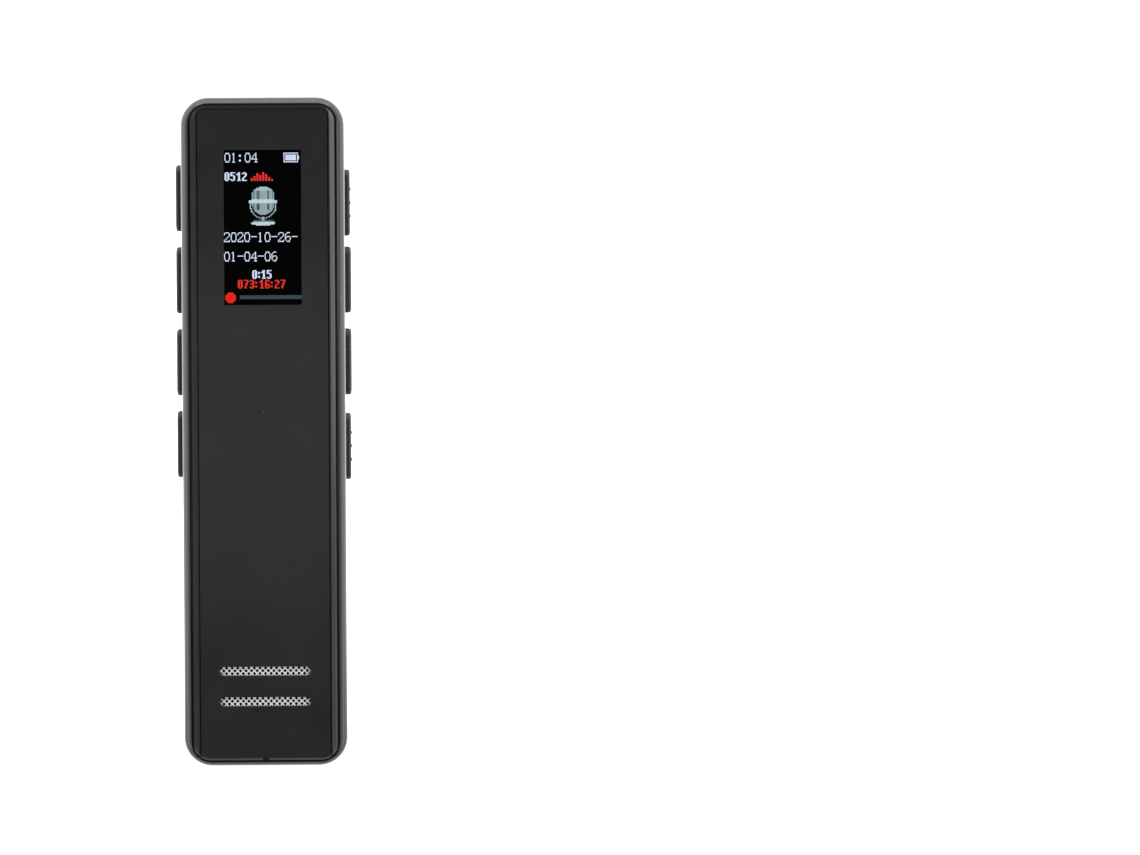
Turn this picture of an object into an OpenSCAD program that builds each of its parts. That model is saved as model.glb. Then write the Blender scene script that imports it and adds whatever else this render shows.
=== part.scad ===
// Handheld voice recorder with a colour screen, six side keys and two side slide switches.
// It lies on its back. X runs across the body, Y runs to the top end and Z rises from the back
// to the screen. The origin is on the resting face, under the middle of the body. Millimetres.

/* [Casing] */
// Width of the casing without the keys
body_w = 23; // [22.8:0.1:24]
// Length of the casing
body_l = 94.2; // [93.6:0.1:97]
// Thickness from the back to the flat of the front panel
body_h = 11; // [10.9:0.1:12]
// Radius of the casing's corners seen from the front
corner_r = 4; // [3.2:0.1:4.4]
// Wall and floor thickness
wall = 1.2; // [1:0.1:1.3]
// Radius along the front edge of the casing
front_round = 1.6; // [1:0.1:1.8]
// Radius along the back edge of the casing
back_round = 2; // [1:0.1:2.2]

/* [Front panel] */
// Casing rim left beside the panel
rim_side = 1.15; // [0.8:0.05:1.3]
// Casing rim left at the panel's ends
rim_end = 0.87; // [0.75:0.01:1]
// Radius of the panel seat's corners
seat_r = 2.6; // [2.2:0.1:2.8]
// Thickness of the panel at its flat
panel_t = 1.2; // [1.1:0.1:1.4]
// Width of the slopes along the panel's sides
side_slope = 1.13; // [0.8:0.01:1.3]
// How far those slopes fall
slope_drop = 0.38; // [0.2:0.02:0.5]

/* [Screen] */
// Width of the screen's lit area
screen_w = 10.85; // [10:0.05:11]
// Length of the screen's lit area
screen_l = 21.75; // [21:0.05:22]
// Middle of the lit area above the middle of the casing
screen_y = 28.8; // [28:0.1:29.2]

/* [Side controls] */
// Length of a key or a slider along the side
key_l = 9.4; // [9:0.1:9.6]
// Height of a key or a slider across the thickness
key_h = 3.4; // [3:0.1:3.6]
// Distance that a key or a slider stands out of the side
key_out = 0.85; // [0.5:0.05:1]
// Spacing of the controls along both sides
key_pitch = 11.57; // [11.5:0.01:11.7]
// Middle of the first control above the middle of the casing
first_key_y = 32.9; // [32:0.1:33]
// Travel of a key
key_travel = 0.3; // [0.2:0.05:0.35]
// Middle of the power slider's slot above the middle of the casing
power_y = 33; // [32.8:0.1:33.2]
// Middle of the record slider's slot below the middle of the casing
record_y = -1.4; // [-1.6:0.1:-1.2]
// Travel of a slider
slide_travel = 1.6; // [1:0.1:1.7]

/* [Sound and sockets] */
// Length of a sound slot
slot_l = 12.7; // [12:0.1:13]
// Width of a sound slot
slot_w = 1.21; // [1:0.01:1.4]
// Middle of the upper sound slot below the middle of the casing
slot_y = -33.6; // [-34:0.1:-33]
// Spacing of the two sound slots
slot_pitch = 4.29; // [4:0.01:4.5]
// Bore radius of the headphone socket
jack_r = 1.8; // [1.76:0.01:1.85]
// Middle of the charging socket below the middle of the casing
usb_y = -13.2; // [-14:0.1:-13]

/* [Hidden] */
$fn = 48;
eps = 0.01;

// Heights of the stack, from the back up.
part_z = 5.5;                           // joint between the two shells, and middle of the controls
rim_z = body_h - 0.3;                   // crown of the front shell's rounded rim
panel_z = body_h - panel_t;             // underside of the front panel
tape_t = 0.1;                           // panel adhesive
seat_z = panel_z - tape_t;              // floor of the panel seat
plate_t = 0.8;                          // front shell under the panel
plate_z = seat_z - plate_t;             // underside of that plate
board_t = 0.8;
board_z = 7.1;                          // underside of the circuit board
board_top = board_z + board_t;

// Plan sizes.
inner_w = body_w - 2*wall;
inner_l = body_l - 2*wall;
inner_r = corner_r - wall;
side_x = body_w/2;                      // outer face of the side walls
wall_x = side_x - wall;                 // inner face of the side walls
seat_w = body_w - 2*rim_side;
seat_l = body_l - 2*rim_end;
panel_y = -0.13;                        // the rim is a little wider at the top end
panel_gap = 0.12;
panel_w = seat_w - 2*panel_gap;
panel_l = seat_l - 2*panel_gap;
panel_r = seat_r - panel_gap;
top_slope = 0.65;                       // slope at the panel's top end
foot_slope = 0.4;                       // chamfer at the panel's lower end
pry_w = 1.4;                            // pry notch at the panel's lower end
tongue_t = 0.5;                         // lip of the rear shell inside the front shell
tongue_h = 0.7;
tongue_gap = 0.05;

// Controls.
key_gap = 0.1;                          // play of a key in its window
key_r = 1.2;                            // corner radius of a key's outline
key_round = 0.35;                       // rounding of a key's outer edge
flange_t = 0.7;
flange_x = wall_x - 0.1 - flange_t;     // inner face of a control's flange
flange_h = key_h + 1.2;
nub_t = 0.3;                            // nub that presses the switch
plunger_x = flange_x - nub_t;           // tip of a switch plunger
board_w = 17.4;
board_edge = board_w/2;
switch_d = 2.5;                         // depth of a switch along X
switch_h = 3;
switch_z = board_z - switch_h;
plunger_r = 0.6;
plunger_gap = 0.05;
station = [for (i = [0:4]) first_key_y - i*key_pitch];
left_keys = [0, 1, 2, 3];               // stations of the keys on the left side
right_keys = [1, 2];                    // stations of the keys on the right side
pocket_depth = 0.7;                     // slider pocket in the wall
neck_l = 5;                             // neck of a slider through the pocket's floor
neck_h = 1.6;
heel_l = 7.6;                           // flange that keeps a slider in
heel_h = 3;
lever_l = 1.4;
lever_h = 1;
slide_rest = -slide_travel/2;           // sliders rest at the lower end of their slots
ridge_r = 0.35;
ridge_out = 0.15;                       // ridges stand this far out of a slider's face
ridge_pitch = 1.9;

// Screws.
screw_x = 8.3;
screw_y = 42;
screw_r = 0.6;
thread_bite = 0.05;                     // threads cut this far into the bosses
head_r = 1.2;
head_h = 0.7;
head_z = 0.4;                           // lower face of a sunk screw head
boss_r = 1.4;

// Screen module.
lcd_w = 13.3;
lcd_l = 27.95;
lcd_top = screen_y + screen_l/2 + 1.6;  // upper end of the module
lcd_mid = lcd_top - lcd_l/2;
lcd_pad_t = 0.2;
backlight_z = board_top + lcd_pad_t;
backlight_t = plate_z - backlight_z;
glass_t = 0.75;
ledge_l = 2.6;                          // bare strip of the lower glass that carries the ribbon
opening_play = 0.2;

// Battery.
cell_w = 12;
cell_l = 38;
cell_t = 4;
cell_y = 11;
cell_pad_t = 0.2;
cell_z = wall + cell_pad_t;
lead_r = 0.3;
lead_bend = 0.7;

// Speaker.
speaker_y = slot_y - slot_pitch/2;
speaker_l = 15;
speaker_w = 10;
gasket_t = 0.5;
speaker_top = plate_z - gasket_t;
speaker_h = 2.8;
speaker_z = speaker_top - speaker_h;
mesh_depth = 0.4;                       // mesh below the panel's flat
mesh_t = 0.25;
mesh_margin = 0.65;                     // mesh cap beyond its slot
mesh_z = body_h - mesh_depth - mesh_t;
mesh_cell = 0.784;                      // diagonal of one diamond of the mesh
mesh_hole = 0.38;                       // side of one diamond hole

// Microphones and headphone socket on the top end.
mic_x = 5.2;
mic_r = 1.9;
mic_l = 1.6;
boot_r = 2.2;
boot_l = 2.2;
boot_front = 0.4;
mic_port_r = 0.45;
jack_w = 5.4;
jack_h = 4.9;
jack_z = board_z - jack_h/2;
jack_back = 32.4;
bushing_r = 2.5;
bushing_end = body_l/2 - 0.05;
end_wall_y = body_l/2 - wall;

// Charging socket in the right side.
usb_w = 7.5;
usb_h = 2.5;
usb_skin = 0.3;
usb_mouth = side_x - 0.25;
usb_back = 5.9;
usb_z = board_z - usb_h/2;
usb_gap = 0.1;

// ---- Shapes that repeat ----

// Rectangle with round corners, centred.
module rounded_rect(w, l, r) {
    square([w - 2*r, l], center = true);
    square([w, l - 2*r], center = true);
    for (x = [-1, 1], y = [-1, 1])
        translate([x*(w/2 - r), y*(l/2 - r)]) circle(r);
}

// Plate with round corners, standing on z.
module plate(w, l, t, r, z = 0)
    translate([0, 0, z]) linear_extrude(t) rounded_rect(w, l, r);

// Section of a box from a corner's axis outwards, with rounded lower and upper edges.
module edge_section(r, h, lower, upper) {
    difference() {
        square([r, h]);
        if (upper > 0)
            translate([r - upper, h - upper])
                difference() { square(upper + 1); circle(upper); }
        if (lower > 0)
            translate([r - lower, lower])
                mirror([0, 1])
                    difference() { square(lower + 1); circle(lower); }
    }
}

// Box with round corners in plan and rounded lower and upper edges, standing on z = 0.
module soft_box(w, l, h, r, lower, upper) {
    for (x = [0, 1], y = [0, 1])
        mirror([x, 0, 0]) mirror([0, y, 0])
            translate([w/2 - r, l/2 - r, 0])
                rotate_extrude(angle = 90) edge_section(r, h, lower, upper);
    for (x = [0, 1])
        mirror([x, 0, 0]) translate([w/2 - r, l/2 - r, 0])
            rotate([90, 0, 0]) linear_extrude(l - 2*r) edge_section(r, h, lower, upper);
    for (y = [0, 1])
        mirror([0, y, 0]) translate([r - w/2, l/2 - r, 0])
            rotate([90, 0, 90]) linear_extrude(w - 2*r) edge_section(r, h, lower, upper);
    translate([0, 0, h/2]) cube([w - 2*r, l - 2*r, h], center = true);
}

// Turns a shape that stands on z so that it stands out along +X, with its own X along Y.
module along_x(x, y, z) translate([x, y, z]) rotate([90, 0, 90]) children();

// Cylinder along +Y.
module rod_y(x, y, z, r, l) translate([x, y, z]) rotate([-90, 0, 0]) cylinder(r = r, h = l);

// Block between two corners.
module block(a, b) translate(a) cube(b - a);

// Shape on the left or on the right side: side is -1 or 1.
module on_side(side) mirror([side < 0 ? 1 : 0, 0, 0]) children();

module at_screws() for (x = [-1, 1], y = [-1, 1]) translate([x*screw_x, y*screw_y, 0]) children();

module at_slots() for (i = [0, 1]) translate([0, slot_y - i*slot_pitch, 0]) children();

// ---- Openings that both shells share ----

module key_window(y, l)
    along_x(wall_x - 1, y, part_z)
        linear_extrude(wall + 2) rounded_rect(l + 2*key_gap, key_h + 2*key_gap, key_r + key_gap);

module side_openings() {
    for (i = left_keys) on_side(-1) key_window(station[i], key_l);
    for (i = right_keys) key_window(station[i], key_l);
    for (y = [power_y, record_y]) {
        along_x(side_x - pocket_depth, y, part_z)
            linear_extrude(2)
                rounded_rect(key_l + slide_travel + 2*key_gap, key_h + 2*key_gap, key_r + key_gap);
        translate([wall_x, y, part_z])
            cube([2, neck_l + slide_travel + 2*key_gap, neck_h + 2*key_gap], center = true);
    }
    along_x(wall_x - 1, usb_y, usb_z)
        linear_extrude(wall + 2) rounded_rect(usb_w + 2*usb_gap, usb_h + 2*usb_gap, 0.5);
}

module end_openings() {
    rod_y(0, end_wall_y - 1, jack_z, bushing_r + tongue_gap, wall + 2);
    for (x = [-mic_x, mic_x]) rod_y(x, end_wall_y - 1, part_z, mic_port_r, wall + 2);
}

// ---- Casing ----

module rear_shell() color("#151516") {
    post_r = 0.8;
    foot_r = 1.9;
    difference() {
        union() {
            difference() {
                soft_box(body_w, body_l, part_z, corner_r, back_round, 0);
                plate(inner_w, inner_l, body_h, inner_r, wall);
            }
            // Tongue that centres the front shell.
            translate([0, 0, part_z - 1]) linear_extrude(tongue_h + 1) difference() {
                rounded_rect(inner_w + 2*tongue_t, inner_l + 2*tongue_t, inner_r + tongue_t);
                rounded_rect(inner_w, inner_l, inner_r);
            }
            at_screws() cylinder(r = boss_r, h = part_z);
            at_screws() translate([0, 0, wall/2]) cylinder(r = foot_r, h = wall/2 + 1.2);
        }
        at_screws() translate([0, 0, -1]) cylinder(r = screw_r + 0.15, h = part_z + 2);
        at_screws() translate([0, 0, -1]) cylinder(r = head_r + 0.15, h = 1 + head_z + head_h);
        side_openings();
        end_openings();
    }
    // Posts under the board and low ribs beside the battery.
    for (x = [-1, 1]) {
        translate([x*7.6, -22, wall - 0.2]) cylinder(r = post_r, h = board_z - wall + 0.2);
        translate([x*4.8, 40.4, wall - 0.2]) cylinder(r = post_r, h = board_z - wall + 0.2);
        translate([x*(cell_w/2 + 0.5), cell_y, wall + 0.6]) cube([0.6, cell_l - 6, 1.6], center = true);
    }
}

module front_shell() color("#101011") difference() {
    union() {
        difference() {
            translate([0, 0, part_z])
                soft_box(body_w, body_l, rim_z - part_z, corner_r, 0, front_round);
            translate([0, panel_y, 0]) plate(seat_w, seat_l, 2, seat_r, seat_z);
            plate(inner_w, inner_l, plate_z, inner_r, 0);
            plate(inner_w + 2*(tongue_t + tongue_gap), inner_l + 2*(tongue_t + tongue_gap),
                  part_z + tongue_h + tongue_gap, inner_r + tongue_t + tongue_gap, 0);
        }
        at_screws() translate([0, 0, part_z]) cylinder(r = boss_r, h = plate_z - part_z + 0.2);
    }
    at_screws() translate([0, 0, part_z - 1])
        cylinder(r = screw_r - thread_bite, h = plate_z - part_z + 0.7);
    screen_opening(seat_z);
    at_slots() plate(slot_l, slot_w, 3, slot_w/2 - eps, plate_z - 1);
    side_openings();
    end_openings();
}

// Gap in the front shell for the screen module and its ribbon.
module screen_opening(z) {
    foot = 1;
    translate([0, lcd_mid - foot/2, z - 2])
        linear_extrude(3)
            rounded_rect(lcd_w + 2*opening_play, lcd_l + 2*opening_play + foot, 0.5);
}

module front_panel() color("#0b0b0c") difference() {
    translate([0, panel_y, 0]) difference() {
        plate(panel_w, panel_l, panel_t, panel_r, panel_z);
        for (x = [-1, 1]) slope_cut(x*panel_w/2, side_slope, slope_drop, panel_l, x);
        rotate([0, 0, 90]) slope_cut(panel_l/2, top_slope, slope_drop, panel_w, 1);
        rotate([0, 0, 90]) slope_cut(-panel_l/2, foot_slope, slope_drop/2, panel_w, -1);
        translate([0, -panel_l/2, panel_z - 1]) cylinder(d = pry_w, h = panel_t + 2);
    }
    translate([0, screen_y, body_h]) cube([screen_w, screen_l, 3*panel_t], center = true);
    at_slots() plate(slot_l, slot_w, 3, slot_w/2 - eps, panel_z - 1);
    at_slots() mesh_pocket();
}

// Wedge that takes a slope of this width and drop off the panel's edge at x, along Y.
module slope_cut(x, w, drop, l, side)
    rotate([90, 0, 0]) translate([0, 0, -l/2 - 1]) linear_extrude(l + 2)
        polygon([[x - side*w, body_h], [x, body_h - drop], [x + side, body_h - drop],
                 [x + side, body_h + 1], [x - side*w, body_h + 1]]);

module mesh_pocket()
    plate(slot_l + 2*mesh_margin, slot_w + 2*mesh_margin,
          mesh_z + mesh_t - panel_z + 1, 0.9, panel_z - 1);

module display_window() color([0.05, 0.05, 0.06, 0.35])
    translate([0, screen_y, panel_z + panel_t/2]) cube([screen_w, screen_l, panel_t], center = true);

module panel_adhesive() color("#262626") difference() {
    translate([0, panel_y, 0]) plate(panel_w - 0.6, panel_l - 0.6, tape_t, panel_r - 0.3, seat_z);
    screen_opening(seat_z);
    at_slots() plate(slot_l + 2*mesh_margin, slot_w + 2*mesh_margin, 1, 0.9, seat_z - 0.5);
}

module case_screws() color("#3c3d40") at_screws() {
    slot = 0.28;
    difference() {
        translate([0, 0, head_z]) union() {
            cylinder(r = head_r, h = head_h);
            cylinder(r = screw_r, h = 7.2);
        }
        for (a = [0, 90]) rotate([0, 0, a])
            translate([0, 0, head_z]) cube([1.4, slot, 0.7], center = true);
    }
}

// ---- Screen module ----

module lcd_glass() color("#050506") {
    block([-lcd_w/2, lcd_top - lcd_l, plate_z], [lcd_w/2, lcd_top, plate_z + glass_t/2]);
    block([-lcd_w/2, lcd_top - lcd_l + ledge_l, plate_z + glass_t/2],
          [lcd_w/2, lcd_top, plate_z + glass_t]);
}

module lcd_backlight() color("#e8e8e2") difference() {
    translate([0, lcd_mid, 0]) plate(lcd_w - 0.1, lcd_l - 0.1, backlight_t, 0.4, backlight_z);
    translate([0, lcd_mid, backlight_z + backlight_t]) cube([10.9, 24, 0.3], center = true);
}

module lcd_pad() color("#d9c9a0")
    translate([0, lcd_mid + 1, 0]) plate(11, 22, lcd_pad_t, 0.5, board_top);

// Flat ribbon from the glass ledge down to its solder pads on the board.
module lcd_ribbon() color("#b4641e") {
    t = 0.12;
    w = 4;
    ledge_z = plate_z + glass_t/2;
    foot_y = lcd_top - lcd_l - 0.5;
    block([-w, foot_y - t, ledge_z], [w, foot_y + 2.3, ledge_z + t]);
    block([-w, foot_y - t, board_top + t], [w, foot_y, ledge_z]);
    block([-w, foot_y - 4, board_top], [w, foot_y, board_top + t]);
}

// ---- Circuit board ----

board_top_y = 43.4;
board_end_y = -26;

module main_board() color("#14301f") difference() {
    block([-board_edge, board_end_y, board_z], [board_edge, board_top_y, board_top]);
    at_screws() translate([0, 0, board_z - 1]) cylinder(r = boss_r + 0.2, h = board_t + 2);
    // Via holes in two rows beside the ribbon pads.
    for (x = [-5.6, 5.6], y = [-20:4:4])
        translate([x, y, board_z - 1]) cylinder(r = 0.25, h = board_t + 2, $fn = 16);
}

// Flat chip under the board, with its pins along two sides.
module chip(x, y, w, l, t, pins, pitch) {
    pin_t = 0.12;
    block([x - w/2, y - l/2, board_z - t], [x + w/2, y + l/2, board_z - pin_t]);
    for (side = [-1, 1], i = [0:pins - 1])
        translate([x + side*(w/2 + 0.05), y + (i - (pins - 1)/2)*pitch, board_z - pin_t/2])
            cube([0.9, pitch/2, pin_t], center = true);
}

module processor_chip() color("#1b1b1d") chip(0, 23, 7, 7, 1, 8, 0.8);
module memory_chip() color("#1e1e20") chip(0, 12.5, 8, 6, 1, 6, 0.9);
module amplifier_chip() color("#19191b") chip(0, -20, 3.9, 4.9, 1, 4, 1.27);

module crystal() color("#b9bcc0")
    translate([4, 2.5, 0]) plate(2.5, 3.2, 0.8, 0.3, board_z - 0.8);

module capacitors() color("#a98a62") {
    size = [1.0, 0.5, 0.5];
    for (i = [0:4], x = [-3.6, 0, 3.6])
        translate([x, -3 - i*1.4, board_z - size.z/2]) cube(size, center = true);
}

// ---- Battery ----

module battery() color("#c9ccd1")
    translate([0, cell_y, cell_z]) soft_box(cell_w, cell_l, cell_t, 1.4, 0.9, 0.9);

module battery_board() color("#1c4a2e")
    block([-5, cell_y - cell_l/2 - 1.4, cell_z + 1], [5, cell_y - cell_l/2, cell_z + 2]);

module battery_pad() color("#e9e9e9")
    translate([0, cell_y, 0]) plate(10, 30, cell_pad_t, 0.5, wall);

// Wire that runs from y0 to y1 at height z0 and bends up to the underside of the board.
module bent_lead(x, y0, y1, z0) {
    run = abs(y1 - y0);
    translate([x, y0, z0]) mirror([0, y1 < y0 ? 1 : 0, 0]) {
        rod_y(0, 0, 0, lead_r, run - lead_bend);
        translate([0, run - lead_bend, lead_bend])
            rotate([0, 90, 0]) rotate_extrude(angle = 90) translate([lead_bend, 0]) circle(lead_r);
        translate([0, run, lead_bend]) cylinder(r = lead_r, h = board_z - z0 - lead_bend);
    }
}

module battery_lead_red() color("#b3201c")
    bent_lead(2, cell_y - cell_l/2 - 1.4, -13.4, cell_z + 1.5);
module battery_lead_black() color("#17171a")
    bent_lead(-2, cell_y - cell_l/2 - 1.4, -13.4, cell_z + 1.5);

// ---- Speaker and sound slots ----

module speaker_outline(inset)
    rounded_rect(speaker_l - 2*inset, speaker_w - 2*inset, speaker_w/2 - 0.5 - inset);

module speaker_frame() color("#2a2a2c") translate([0, speaker_y, speaker_z]) difference() {
    linear_extrude(speaker_h) speaker_outline(0);
    translate([0, 0, 0.6]) linear_extrude(speaker_h) speaker_outline(0.8);
    translate([0, 0, -1]) cylinder(r = 3.2, h = 2);
}

module speaker_cone() color("#3a3937") translate([0, speaker_y, speaker_top - 0.5]) difference() {
    linear_extrude(0.4) speaker_outline(0.8);
    translate([0, 0, 0.2]) linear_extrude(1) difference() { speaker_outline(1.4); circle(2.6); }
}

module speaker_magnet() color("#9fa3a8")
    translate([0, speaker_y, speaker_z - 0.8]) cylinder(r = 3.2, h = 2.4);

module speaker_gasket() color("#1f1f1f") translate([0, speaker_y, speaker_top])
    linear_extrude(gasket_t) difference() { speaker_outline(0); speaker_outline(0.8); }

module speaker_lead_red() color("#b3201c")
    bent_lead(1.5, speaker_y + speaker_w/2, board_end_y + 1, speaker_z + 0.7);
module speaker_lead_black() color("#17171a")
    bent_lead(-1.5, speaker_y + speaker_w/2, board_end_y + 1, speaker_z + 0.7);

// Pressed mesh cap that fills the pocket behind one slot of the panel.
module grille_mesh(y) color("#d7d9da") translate([0, y, 0]) difference() {
    cap_w = slot_l + 2*mesh_margin - 0.1;
    cap_l = slot_w + 2*mesh_margin - 0.1;
    plate(cap_w, cap_l, mesh_z + mesh_t - panel_z, 0.85, panel_z);
    plate(cap_w - 0.5, cap_l - 0.5, mesh_z - panel_z + 1, 0.6, panel_z - 1);
    for (i = [-7:7]) diamond_hole(i*mesh_cell, 0);
    for (i = [-7.5:7.5], side = [-1, 1]) diamond_hole(i*mesh_cell, side*mesh_cell/2);
}

module diamond_hole(x, y)
    translate([x, y, mesh_z + mesh_t/2]) rotate([0, 0, 45])
        cube([mesh_hole, mesh_hole, 2*mesh_t], center = true);

// ---- Microphones, headphone socket and charging socket ----

module microphone(x) color("#b7babd")
    rod_y(x, end_wall_y - boot_front - mic_l, part_z, mic_r, mic_l);

module mic_boot(x) color("#202022") difference() {
    rod_y(x, end_wall_y - boot_l, part_z, boot_r, boot_l);
    rod_y(x, end_wall_y - boot_l - 1, part_z, mic_r, boot_l + 1 - boot_front);
    rod_y(x, end_wall_y - boot_l - 1, part_z, mic_port_r, boot_l + 2);
}

module jack_housing() color("#1a1a1c") difference() {
    block([-jack_w/2, jack_back, board_z - jack_h], [jack_w/2, end_wall_y - 0.1, board_z]);
    rod_y(0, jack_back - 1, jack_z, jack_r, body_l);
    // Side grooves for the contact springs and for their legs.
    for (x = [-1, 1]) {
        translate([x*jack_w/2, 38, jack_z]) cube([0.6, 7, 1.8], center = true);
        translate([x*jack_w/2, 40, board_z]) cube([0.6, 1.2, jack_h], center = true);
    }
}

module jack_bushing() color("#c3c6c9") difference() {
    rod_y(0, end_wall_y - 0.1, jack_z, bushing_r, bushing_end - end_wall_y + 0.1);
    rod_y(0, end_wall_y - 1, jack_z, jack_r, 3);
}

module jack_contacts() color("#c9a24a") for (x = [-1, 1]) {
    translate([x*(jack_w/2 - 0.15), 38, jack_z]) cube([0.3, 6.6, 1.4], center = true);
    translate([x*(jack_w/2 - 0.15), 40, (jack_z + board_z)/2])
        cube([0.3, 1, board_z - jack_z], center = true);
}

// Mouth of the charging socket: wide above, with both lower corners cut.
module usb_outline(inset) {
    w = usb_w/2 - inset;
    h = usb_h/2 - inset;
    cut = 1;
    polygon([[-w, h], [w, h], [w, cut - h], [w - cut, -h], [cut - w, -h], [-w, cut - h]]);
}

module usb_shell() color("#c8cacc") difference() {
    along_x(usb_back, usb_y, usb_z) linear_extrude(usb_mouth - usb_back) usb_outline(0);
    along_x(usb_back + usb_skin, usb_y, usb_z) linear_extrude(usb_mouth) usb_outline(usb_skin);
}

module usb_tongue() color("#1b1b1d") {
    along_x(usb_back + usb_skin, usb_y, usb_z) linear_extrude(1.4) usb_outline(usb_skin);
    translate([usb_back + usb_skin + 2.7, usb_y, usb_z + 0.35]) cube([3.4, 3.5, 0.5], center = true);
}

module usb_contacts() color("#d9b65a") for (i = [-2:2])
    translate([usb_back + usb_skin + 2.8, usb_y + i*0.65, usb_z + 0.05])
        cube([2.8, 0.3, 0.1], center = true);

// ---- Side controls ----

// Moulded key: a cap through the wall, a flange behind it and a nub on the switch.
module key(side, i) color("#1d1d1f") on_side(side) {
    cap_x = flange_x + flange_t;
    along_x(cap_x, station[i], part_z)
        soft_box(key_l, key_h, side_x + key_out - cap_x, key_r, 0, key_round);
    along_x(flange_x, station[i], part_z)
        linear_extrude(flange_t) rounded_rect(key_l + 0.6, flange_h, key_r);
    along_x(plunger_x, station[i], part_z) cylinder(r = 0.8, h = nub_t);
}

module plunger(side, i) color("#d8d8d4") on_side(side)
    along_x(board_edge - 0.5, station[i], part_z)
        cylinder(r = plunger_r, h = plunger_x - board_edge + 0.5);

module key_switch(side, i) color("#2b2b2e") on_side(side) difference() {
    l = 5;
    block([board_edge - switch_d, station[i] - l/2, switch_z],
          [board_edge, station[i] + l/2, board_z]);
    along_x(board_edge - 1, station[i], part_z) cylinder(r = plunger_r + plunger_gap, h = 2);
}

// Slider at rest: a ridged cap in its pocket, a neck through the wall and a flange behind it.
module slider(slot) color("#1d1d1f") {
    y = slot + slide_rest;
    cap_x = side_x - pocket_depth + key_gap;
    face_x = side_x + key_out - ridge_out;
    along_x(cap_x, y, part_z) soft_box(key_l, key_h, face_x - cap_x, key_r, 0, key_round);
    for (k = [-1:1])
        translate([face_x + ridge_out - ridge_r, y + k*ridge_pitch, part_z])
            cylinder(r = ridge_r, h = key_h - 0.8, center = true);
    block([flange_x + flange_t, y - neck_l/2, part_z - neck_h/2],
          [cap_x, y + neck_l/2, part_z + neck_h/2]);
    difference() {
        block([flange_x, y - heel_l/2, part_z - heel_h/2],
              [flange_x + flange_t, y + heel_l/2, part_z + heel_h/2]);
        translate([flange_x, y, part_z]) cube([0.8, lever_l + 0.1, lever_h + 0.1], center = true);
    }
}

module lever(slot) color("#e2e2de")
    block([board_edge - 0.7, slot + slide_rest - lever_l/2, part_z - lever_h/2],
          [flange_x + 0.35, slot + slide_rest + lever_l/2, part_z + lever_h/2]);

module slide_switch(slot) color("#b9bcbf") difference() {
    l = 7;
    block([board_edge - switch_d, slot - l/2, switch_z], [board_edge, slot + l/2, board_z]);
    translate([board_edge, slot, part_z])
        cube([1.8, lever_l + slide_travel + 0.2, lever_h + 0.1], center = true);
}

// ---- Nodes ----

rear_shell();
front_shell();
front_panel();
display_window();
panel_adhesive();
lcd_glass();
lcd_backlight();
lcd_pad();
lcd_ribbon();
main_board();
processor_chip();
memory_chip();
amplifier_chip();
crystal();
capacitors();
battery();
battery_board();
battery_pad();
battery_lead_red();
battery_lead_black();
speaker_frame();
speaker_cone();
speaker_magnet();
speaker_gasket();
speaker_lead_red();
speaker_lead_black();
grille_mesh(slot_y);  // upper_grille_mesh
grille_mesh(slot_y - slot_pitch);  // lower_grille_mesh
microphone(-mic_x);  // left_microphone
microphone(mic_x);  // right_microphone
mic_boot(-mic_x);  // left_mic_boot
mic_boot(mic_x);  // right_mic_boot
jack_housing();
jack_bushing();
jack_contacts();
usb_shell();
usb_tongue();
usb_contacts();
case_screws();
for (k = [0:len(left_keys) - 1]) {
    key(-1, left_keys[k]);
    plunger(-1, left_keys[k]);
}
for (k = [0:len(right_keys) - 1]) {
    key(1, right_keys[k]);
    plunger(1, right_keys[k]);
}
for (i = left_keys) key_switch(-1, i);  // left_key_switches
for (i = right_keys) key_switch(1, i);  // right_key_switches
slider(power_y);  // power_slider
slider(record_y);  // record_slider
lever(power_y);  // power_lever
lever(record_y);  // record_lever
slide_switch(power_y);  // power_switch
slide_switch(record_y);  // record_switch
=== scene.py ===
# %% [markdown]
# # A handheld voice recorder
#
# The recorder is a slim bar of polished black plastic: two shells, a glossy front panel with sloped
# edges, a small colour screen, matte keys along both sides and two narrow speaker slots with bright
# mesh behind them. This lesson dresses a finished engineering model of it. The engineering model says
# where everything sits and what moves, and the cells below make the surfaces that are seen.
#
# The first code cell loads that model. Nothing made here may grow past it.

# %% Load the engineering model
from math import acos, cos, pi, radians, sin, sqrt

import bmesh
import bpy
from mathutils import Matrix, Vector


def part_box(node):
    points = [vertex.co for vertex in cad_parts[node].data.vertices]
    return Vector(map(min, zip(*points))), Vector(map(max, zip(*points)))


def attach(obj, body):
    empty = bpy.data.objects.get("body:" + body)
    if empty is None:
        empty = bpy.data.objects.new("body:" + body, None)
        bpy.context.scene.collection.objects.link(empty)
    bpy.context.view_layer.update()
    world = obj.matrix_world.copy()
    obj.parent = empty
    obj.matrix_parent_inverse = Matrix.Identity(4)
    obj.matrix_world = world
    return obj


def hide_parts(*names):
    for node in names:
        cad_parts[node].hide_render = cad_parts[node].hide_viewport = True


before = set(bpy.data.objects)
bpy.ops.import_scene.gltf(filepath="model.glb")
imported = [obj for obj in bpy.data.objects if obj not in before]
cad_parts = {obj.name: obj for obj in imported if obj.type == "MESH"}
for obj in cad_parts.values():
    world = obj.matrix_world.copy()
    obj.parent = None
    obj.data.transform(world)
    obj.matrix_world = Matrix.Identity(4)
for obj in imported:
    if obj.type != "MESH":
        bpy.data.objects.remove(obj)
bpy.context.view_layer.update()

MM = 0.001
scene = bpy.context.scene

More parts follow.
